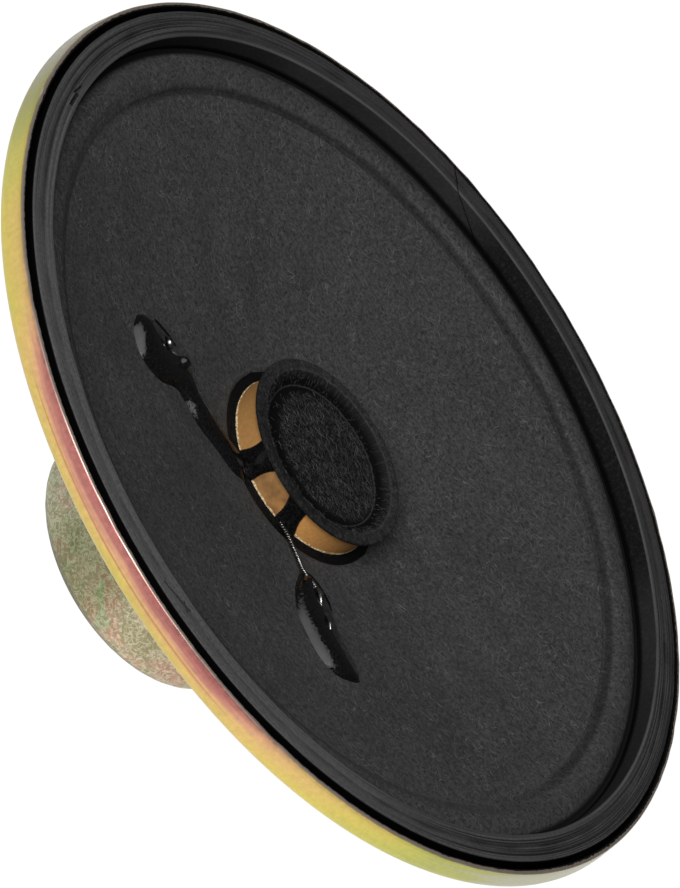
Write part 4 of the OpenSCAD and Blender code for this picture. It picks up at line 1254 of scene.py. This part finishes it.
def bead_mesh(upper, lower, height, bumps, sizes, stations=150, across=36):
    """A bead of glue between two edges on the cone, with round bumps (x, y, radius, height) in it."""
    c, s = math.cos(math.radians(VIEW_TURN)), math.sin(math.radians(VIEW_TURN))
    rotate = np.array([[c, -s], [s, c]])
    a = smooth_line(upper, stations) @ rotate.T
    b = smooth_line(lower, stations) @ rotate.T
    verts = []
    for i in range(stations):
        width = np.linalg.norm(a[i] - b[i])
        end = min(1.0, min(i, stations - 1 - i) / 10 + 0.02)
        dome = height * min(1.0, width / 3.0) * math.sqrt(end)
        for k in range(across + 1):
            t = k / across
            x, y = a[i] * (1 - t) + b[i] * t
            # The bead is steep at its lower edge, and meets the paper softly at its upper one
            up = dome * max(0.0, 1 - abs(2 * t - 1) ** 2.3) ** (0.62 if t > 0.5 else 1.3)
            for bx, by, radius, lift in bumps:
                up += lift * math.exp(-(((x - bx) ** 2 + (y - by) ** 2) / radius**2) ** 2)
            verts.append(on_cone(x, y, up - 0.03, sizes))
    under = []
    for i in range(stations):
        for k in range(1, across):
            t = k / across
            x, y = a[i] * (1 - t) + b[i] * t
            under.append(on_cone(x, y, -0.04, sizes))
    top_n, n, m = stations * (across + 1), across + 1, across - 1
    faces = []

    def low(i, k):
        return i * n + k if k in (0, across) else top_n + i * m + k - 1

    for i in range(stations - 1):
        for k in range(across):
            faces.append((i * n + k, i * n + k + 1, (i + 1) * n + k + 1, (i + 1) * n + k))
            faces.append((low(i, k), low(i + 1, k), low(i + 1, k + 1), low(i, k + 1)))
    for i in (0, stations - 1):
        for k in range(across):
            faces.append((i * n + k, low(i, k), low(i, k + 1), i * n + k + 1))
    return np.array(verts + under), faces


def glue_run(top, foot, neck_z, rows=26, columns=22):
    """Glue run down the former, between two bearings at its top and two at its foot, where it spreads."""
    thickness, spread = 0.3, 0.15
    verts, faces = [], []
    for i in range(rows + 1):
        v = i / rows
        z = FORMER_TOP_Z - 0.01 - (FORMER_TOP_Z - neck_z - 0.03) * v
        pinch = 1.6 * math.sin(math.pi * v)
        a = top[0] + (foot[0] - top[0]) * v + pinch
        b = top[1] + (foot[1] - top[1]) * v - pinch
        for k in range(columns + 1):
            u = 2 * k / columns - 1
            thick = thickness * max(0.0, 1 - abs(u) ** 2.6) ** 0.6
            thick += spread * max(0.0, (v - 0.62) / 0.38) ** 2.2 * max(0.0, 1 - abs(u) ** 3) ** 0.5
            verts.append(polar(FORMER_R + 0.004 + thick, (a + b) / 2 + (b - a) / 2 * u, z))
    # Each row also has two points inside the former's wall, which close its back
    n, back = columns + 1, len(verts)
    for i in range(rows + 1):
        for k in (0, columns):
            x, y, z = verts[i * n + k]
            scale = (FORMER_R - 0.05) / math.hypot(x, y)
            verts.append((x * scale, y * scale, z))
    for i in range(rows):
        for k in range(columns):
            faces.append((i * n + k, i * n + k + 1, (i + 1) * n + k + 1, (i + 1) * n + k))
        faces.append((i * n, (i + 1) * n, back + 2 * i + 2, back + 2 * i))
        faces.append((i * n + columns, back + 2 * i + 1, back + 2 * i + 3, (i + 1) * n + columns))
        faces.append((back + 2 * i, back + 2 * i + 2, back + 2 * i + 3, back + 2 * i + 1))
    faces.append((back, back + 1, *range(columns, -1, -1)))
    faces.append((back + 2 * rows + 1, back + 2 * rows, *range(rows * n, rows * n + n)))
    return np.array(verts), faces


class SPEAKER_OT_glue(bpy.types.Operator):
    """Build the black glue: the ring in the neck, the runs on the former and the two beads"""

    bl_idname = "speaker.glue"
    bl_label = "Glue"

    def execute(self, context):
        sizes, colours = settings()
        neck_r, neck_z = mm(sizes.neck_r), mm(sizes.neck_z)
        glossy = glue_finish(colours, "Black rubber glue, skinned over", 0.14, 0.9)
        smear = thin_glue_finish()
        dull = glue_finish(colours, "Black rubber glue, dried in the neck", 0.5, shine=0.1)
        run = glue_finish(colours, "Black rubber glue, run down the former", 0.2, shine=0.3)
        fill = [(FORMER_R + 0.005, neck_z - mm(sizes.neck_dip) + 0.05), (FORMER_R + 0.005, neck_z + 0.04)]
        for t in np.linspace(0.1, 0.95, 9):
            sag = 0.22 * math.sin(math.pi * t) * (1 - 0.3 * t)
            fill.append((FORMER_R + (neck_r + 0.25 - FORMER_R) * t, neck_z + 0.04 - sag))
        fill += [(neck_r + 0.3, neck_z + 0.055), (neck_r + 0.1, neck_z - 0.03), (neck_r - 0.3, neck_z - 0.25)]

        def ragged(radius, height, bearing):
            outer = np.clip((radius - neck_r + 0.5) / 0.6, 0, 1)
            shift = outer * 0.14 * ripple(bearing, 0 * radius, 51, (3, 26, 7))
            return radius + shift, height + shift * 0.2

        verts, faces = revolve(fill, 240, shape=ragged)
        piece("neck_glue", verts, faces, dull, "cone", ["neck_glue_ring"], 50)
        # Each run: first and last bearing at its top, and the same at its foot
        runs = [((241.5, 263.5), (240.0, 260.5)), ((277.5, 294.5), (285.0, 303.0))]
        verts, faces = joined([glue_run(top, foot, neck_z) for top, foot in runs])
        piece("former_glue_runs", verts, faces, run, "cone", ["former_glue"], 50)
        left_upper = [
            (-15.1, -10.6), (-14.9, -9.4), (-13.9, -8.3), (-12.8, -7.6), (-11.8, -7.2),
            (-10.2, -7.2), (-8.7, -7.8), (-6.6, -7.3), (-4.6, -6.5), (-3.1, -5.6),
        ]
        left_lower = [
            (-14.9, -11.2), (-14.3, -12.2), (-12.6, -12.9), (-10.7, -12.0), (-9.6, -10.2),
            (-8.5, -9.7), (-6.9, -9.6), (-5.0, -9.0), (-2.8, -8.2), (-1.6, -7.2),
        ]
        right_upper = [
            (5.5, -8.2), (6.1, -7.2), (7.8, -7.6), (9.8, -8.9),
            (11.5, -9.9), (12.9, -11.0), (13.5, -12.0),
        ]
        right_lower = [
            (5.4, -8.6), (6.0, -10.9), (7.2, -12.8), (8.6, -13.8),
            (10.4, -14.6), (12.1, -14.3), (13.3, -12.9),
        ]
        height = mm(sizes.glue_h)
        joints_left = [(-10.35, -9.3, 0.5, 0.5)]
        # Each bead has run out thin over part of its width, on its upper side
        share_left = [0.1, 0.2, 0.24, 0.26, 0.26, 0.16, 0.04, 0, 0, 0]
        share_right = [0.1, 0.24, 0.3, 0.36, 0.38, 0.34, 0.14]
        for side, upper, lower, share, bumps in (
            ("left", left_upper, left_lower, share_left, joints_left),
            ("right", right_upper, right_lower, share_right, []),
        ):
            upper, lower = np.array(upper), np.array(lower)
            inner = upper + (lower - upper) * np.array(share)[:, None]
            verts, faces = bead_mesh(inner, lower, height, bumps, sizes)
            node = f"glue_bead_{side}"
            piece(node + "_skin", verts, faces, glossy, "cone", [node], 60)
            edge = upper + (upper - lower) * 0.03
            verts, faces = bead_mesh(edge, lower, 0.05, [], sizes)
            piece(node + "_edge", verts, faces, dull, "cone", (), 60)
            verts, faces = bead_mesh(upper, lower, 0.1, [], sizes)
            piece(node + "_film", verts, faces, smear, "cone", (), 60)
        return {"FINISHED"}


class SPEAKER_OT_coil_leads(bpy.types.Operator):
    """Build the two coil leads, and dress their solder joints"""

    bl_idname = "speaker.coil_leads"
    bl_label = "Coil leads"

    def execute(self, context):
        sizes = context.scene.speaker_sizes
        tinned = metal_finish("Copper wire, tinned and stripped", "#a9a7a3", "#3c3b3a", 0.28, 4.0)
        enamelled = metal_finish("Copper wire, enamelled, lead", "#b5643a", "#6e3418", 0.3, 3.0)
        solder = metal_finish("Tin solder, flowed", "#cfcfd1", "#8f8f93", 0.24, 2.5)
        low = span("voice_coil_winding")[1].z

        def climb(bearing):
            return [polar(FORMER_R + 0.14, bearing, z) for z in (low, (low + 15.6) / 2, 15.7)]

        # Places of the right lead, each with its height over the cone: it comes up out of its bead twice
        right_plan = [
            (2.41, -6.6, 0.32), (3.14, -6.75, 0.32), (3.97, -7.2, 0.32), (4.78, -7.75, 0.34),
            (5.57, -8.42, 0.4), (6.3, -8.95, 0.55), (7.0, -9.3, 0.72), (7.84, -9.87, 0.86),
            (8.5, -10.4, 0.6), (9.1, -11.0, 0.6), (9.71, -11.49, 0.86), (10.3, -12.0, 0.45),
        ]
        right = climb(291) + [tuple(on_cone(x, y, up, sizes)) for x, y, up in right_plan]
        line = smooth_line(right, 220)
        strands = [tube(line, 0.085, 8, (0.085, 30, phase)) for phase in (0, math.pi)]
        verts, faces = joined(strands)
        node = "coil_lead_right"
        piece(node + "_twist", verts, faces, tinned, "cone", [node], 60, weld=False)
        left_plan = [(-2.2, -7.0), (-3.2, -7.4), (-5.6, -8.2), (-8.4, -8.9), (-10.6, -9.1)]
        left = climb(252) + [tuple(on_cone(x, y, 0.2, sizes)) for x, y in left_plan]
        verts, faces = tube(smooth_line(left, 120), 0.12, 8)
        node = "coil_lead_left"
        piece(node + "_wire", verts, faces, enamelled, "cone", [node], 60)
        # Where a lead comes up out of its bead, the solder has filled it out to a slim tip
        tips = {
            "coil_lead_left_tip": (0.24, ((-12.5, -10.15, 0.72), (-12.0, -10.3, 0.88), (-11.5, -10.45, 0.7))),
            "coil_lead_right_tip": (0.19, ((7.0, -9.25, 0.7), (7.75, -9.8, 0.9), (8.45, -10.35, 0.68))),
            "coil_lead_right_end": (0.17, ((9.0, -10.95, 0.7), (9.6, -11.4, 0.92), (10.2, -11.9, 0.66))),
        }
        for name, (thick, places) in tips.items():
            line = smooth_line([tuple(on_cone(x, y, up, sizes)) for x, y, up in places], 24)
            verts, faces = tube(line, 0.04 + thick * np.sin(np.linspace(0, math.pi, 24)), 12)
            piece(name, verts, faces, tinned, "cone", (), 60)
        dress("lead_joint_left", solder)
        dress("lead_joint_right", solder)
        return {"FINISHED"}


class SPEAKER_OT_tinsel_leads(bpy.types.Operator):
    """Build the two braided tinsel leads that run between the cone and the terminals"""

    bl_idname = "speaker.tinsel_leads"
    bl_label = "Tinsel leads"

    def execute(self, context):
        sizes = context.scene.speaker_sizes
        braid = metal_finish("Copper tinsel, braided", "#c98a5e", "#6d3f22", 0.4, 2.5)
        for side, joint, node in ((-1, (-11.0, -9.1), "left"), (1, (8.0, -9.9), "right")):
            lug_low, lug_high = span(f"solder_lug_{node}")
            eye_x = side * (max(abs(lug_low.x), abs(lug_high.x)) - 1.2)
            eye = np.array([eye_x, (lug_low.y + lug_high.y) / 2, lug_high.z])
            start = on_cone(*joint, -0.5, sizes)
            stub = on_cone(*joint, -0.8, sizes)
            pull = on_cone(*joint, -2.6, sizes)
            above = eye + np.array([0, 0, 1.6])
            over = eye + np.array([0, 0.3, 3.4])
            t = np.linspace(0, 1, 60)[:, None]
            back = 1 - t
            bend = back**3 * stub + 3 * back**2 * t * pull + 3 * back * t**2 * over + t**3 * above
            tail = above + (eye - above) * np.linspace(0.08, 1, 14)[:, None]
            line = np.concatenate([[start], bend, tail])
            strands = [tube(line, 0.13, 7, (0.15, 9, phase)) for phase in np.linspace(0, 2 * math.pi, 4)[:3]]
            verts, faces = joined(strands)
            name, nodes = f"tinsel_{node}_braid", [f"tinsel_lead_{node}"]
            made = piece(name, verts, faces, braid, None, nodes, 60, weld=False)
            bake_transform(made)
        return {"FINISHED"}


class SPEAKER_OT_magnet(bpy.types.Operator):
    """Build the deep-drawn pot, and dress the magnet, the pole piece and the front plate"""

    bl_idname = "speaker.magnet"
    bl_label = "Magnet"

    def execute(self, context):
        steel = pot_finish()
        wall, base, corner = 1.6, 1.8, 2.0
        outer = rounded([(0, 0), (POT_R, 0), (POT_R, POT_TOP_Z)], [0, corner, 0], 14)
        inner = [(POT_R - wall, POT_TOP_Z), (POT_R - wall, base + 0.3), (POT_R - wall - 0.3, base), (0, base)]
        path = refined([np.array(p, float) for p in outer], 0.8)

        def drawn(radius, height, bearing):
            skin = (radius > POT_R - wall / 2) * 0.012
            return radius - skin * (1 + ripple(bearing, radius, 61, (2, 40, 8))), height

        verts, faces = revolve(path + [np.array(p) for p in inner], 200, shape=drawn, closed=False)
        piece("magnet_cup", verts, faces, steel, "frame", ["magnet_pot"], 40)
        plate = metal_finish("Steel plate, zinc plated and punched", "#b9b49c", "#85806c", 0.4, 0.8)
        dress("front_plate", plate)
        dress("pole_piece", metal_finish("Steel disc, turned", "#a9a8a4", "#7a7975", 0.35, 1.0))
        dress("magnet", metal_finish("Magnet alloy, sintered and ground", "#6d6d70", "#4a4a4d", 0.45, 1.2))
        return {"FINISHED"}


class SPEAKER_OT_terminals(bpy.types.Operator):
    """Dress the terminal board, its lugs, rivets and solder"""

    bl_idname = "speaker.terminals"
    bl_label = "Terminals"

    def execute(self, context):
        dress("terminal_board", laminate_finish(context.scene.speaker_colours))
        tinned = metal_finish("Brass lug, punched and tinned", "#cfcbbd", "#9a937c", 0.3, 1.5)
        brass = metal_finish("Brass rivet, headed", "#c9a552", "#8d6d2e", 0.32, 1.8)
        solder = metal_finish("Tin solder mound, flowed", "#cfcfd1", "#8f8f93", 0.24, 2.0)
        for node in ("solder_lug_left", "solder_lug_right"):
            dress(node, tinned)
        for node in ("lug_rivets", "board_rivet"):
            dress(node, brass)
        dress("lug_solder", solder)
        return {"FINISHED"}


class SPEAKER_OT_stage(bpy.types.Operator):
    """Build the white sweep, the soft light and the camera"""

    bl_idname = "speaker.stage"
    bl_label = "Stage"

    def execute(self, context):
        scene = context.scene
        half = 1.6
        corners = [(-half, -half, 0), (half, -half, 0), (half, half, 0), (-half, half, 0)]
        mesh = bpy.data.meshes.new("studio_floor")
        mesh.from_pydata(corners, [], [(0, 1, 2, 3)])
        floor = bpy.data.objects.new("studio_floor", mesh)
        floor.location.z = -0.0002
        scene.collection.objects.link(floor)
        mesh.materials.append(floor_finish())
        world = bpy.data.worlds.new("studio")
        world.use_nodes = True
        sky = world.node_tree.nodes["Background"]
        feed(world.node_tree, sky, {"Color": "#ffffff", "Strength": 0.05})
        scene.world = world
        # One softbox, above and behind the camera and a little to its left; its power is in watts
        place = Vector((-0.126, -0.469, 0.368))
        target = Vector((0, 0, 0.015))
        lamp = bpy.data.lights.new("softbox_front", "AREA")
        lamp.shape = "SQUARE"
        lamp.size = 0.35
        lamp.energy = 4.6
        softbox = bpy.data.objects.new("softbox_front", lamp)
        softbox.location = place
        softbox.rotation_euler = (target - place).to_track_quat("-Z", "Y").to_euler()
        scene.collection.objects.link(softbox)
        lens = bpy.data.cameras.new("camera")
        lens.lens = 266.7
        lens.sensor_width = 36
        lens.clip_start = 0.05
        lens.clip_end = 20
        camera = bpy.data.objects.new("camera", lens)
        # The camera's place and its three axes, fitted to the rings in the photograph
        turn = Matrix.Rotation(math.radians(VIEW_TURN), 3, "Z")
        right = turn @ Vector((0.54279, 0.40712, 0.73459))
        down = turn @ Vector((0.83799, -0.32100, -0.44129))
        forward = turn @ Vector((0.05615, 0.85511, -0.51540))
        basis = Matrix((right, -down, -forward)).transposed().to_4x4()
        camera.matrix_world = Matrix.Translation(Vector((-8.403, -381.548, 248.875)) * MM) @ basis
        scene.collection.objects.link(camera)
        scene.camera = camera
        scene.view_settings.view_transform = "Standard"
        return {"FINISHED"}


OPERATORS = (
    SPEAKER_OT_stage,
    SPEAKER_OT_basket,
    SPEAKER_OT_gasket,
    SPEAKER_OT_surround,
    SPEAKER_OT_cone,
    SPEAKER_OT_dust_cap,
    SPEAKER_OT_voice_coil,
    SPEAKER_OT_spider,
    SPEAKER_OT_glue,
    SPEAKER_OT_coil_leads,
    SPEAKER_OT_tinsel_leads,
    SPEAKER_OT_magnet,
    SPEAKER_OT_terminals,
)


class SPEAKER_PT_panel(bpy.types.Panel):
    """Lists the speaker's pieces"""

    bl_idname = "SPEAKER_PT_panel"
    bl_label = "Loudspeaker driver"
    bl_space_type = "VIEW_3D"
    bl_region_type = "UI"
    bl_category = "Speaker"

    def draw(self, context):
        for one in OPERATORS:
            self.layout.operator(one.bl_idname)
        for group in (context.scene.speaker_sizes, context.scene.speaker_colours):
            for name in group.__annotations__:
                self.layout.prop(group, name)


CLASSES = (SpeakerSizes, SpeakerColours) + OPERATORS + (SPEAKER_PT_panel,)


def register():
    """Register the classes, and give the scene its sizes and colours."""
    for one in CLASSES:
        bpy.utils.register_class(one)
    bpy.types.Scene.speaker_sizes = bpy.props.PointerProperty(type=SpeakerSizes)
    bpy.types.Scene.speaker_colours = bpy.props.PointerProperty(type=SpeakerColours)


def unregister():
    """Take back what register does."""
    del bpy.types.Scene.speaker_colours
    del bpy.types.Scene.speaker_sizes
    for one in reversed(CLASSES):
        bpy.utils.unregister_class(one)


def main():
    register()
    for one in OPERATORS:
        family, name = one.bl_idname.split(".")
        getattr(getattr(bpy.ops, family), name)()
    bpy.context.view_layer.update()


if __name__ == "__main__":
    main()
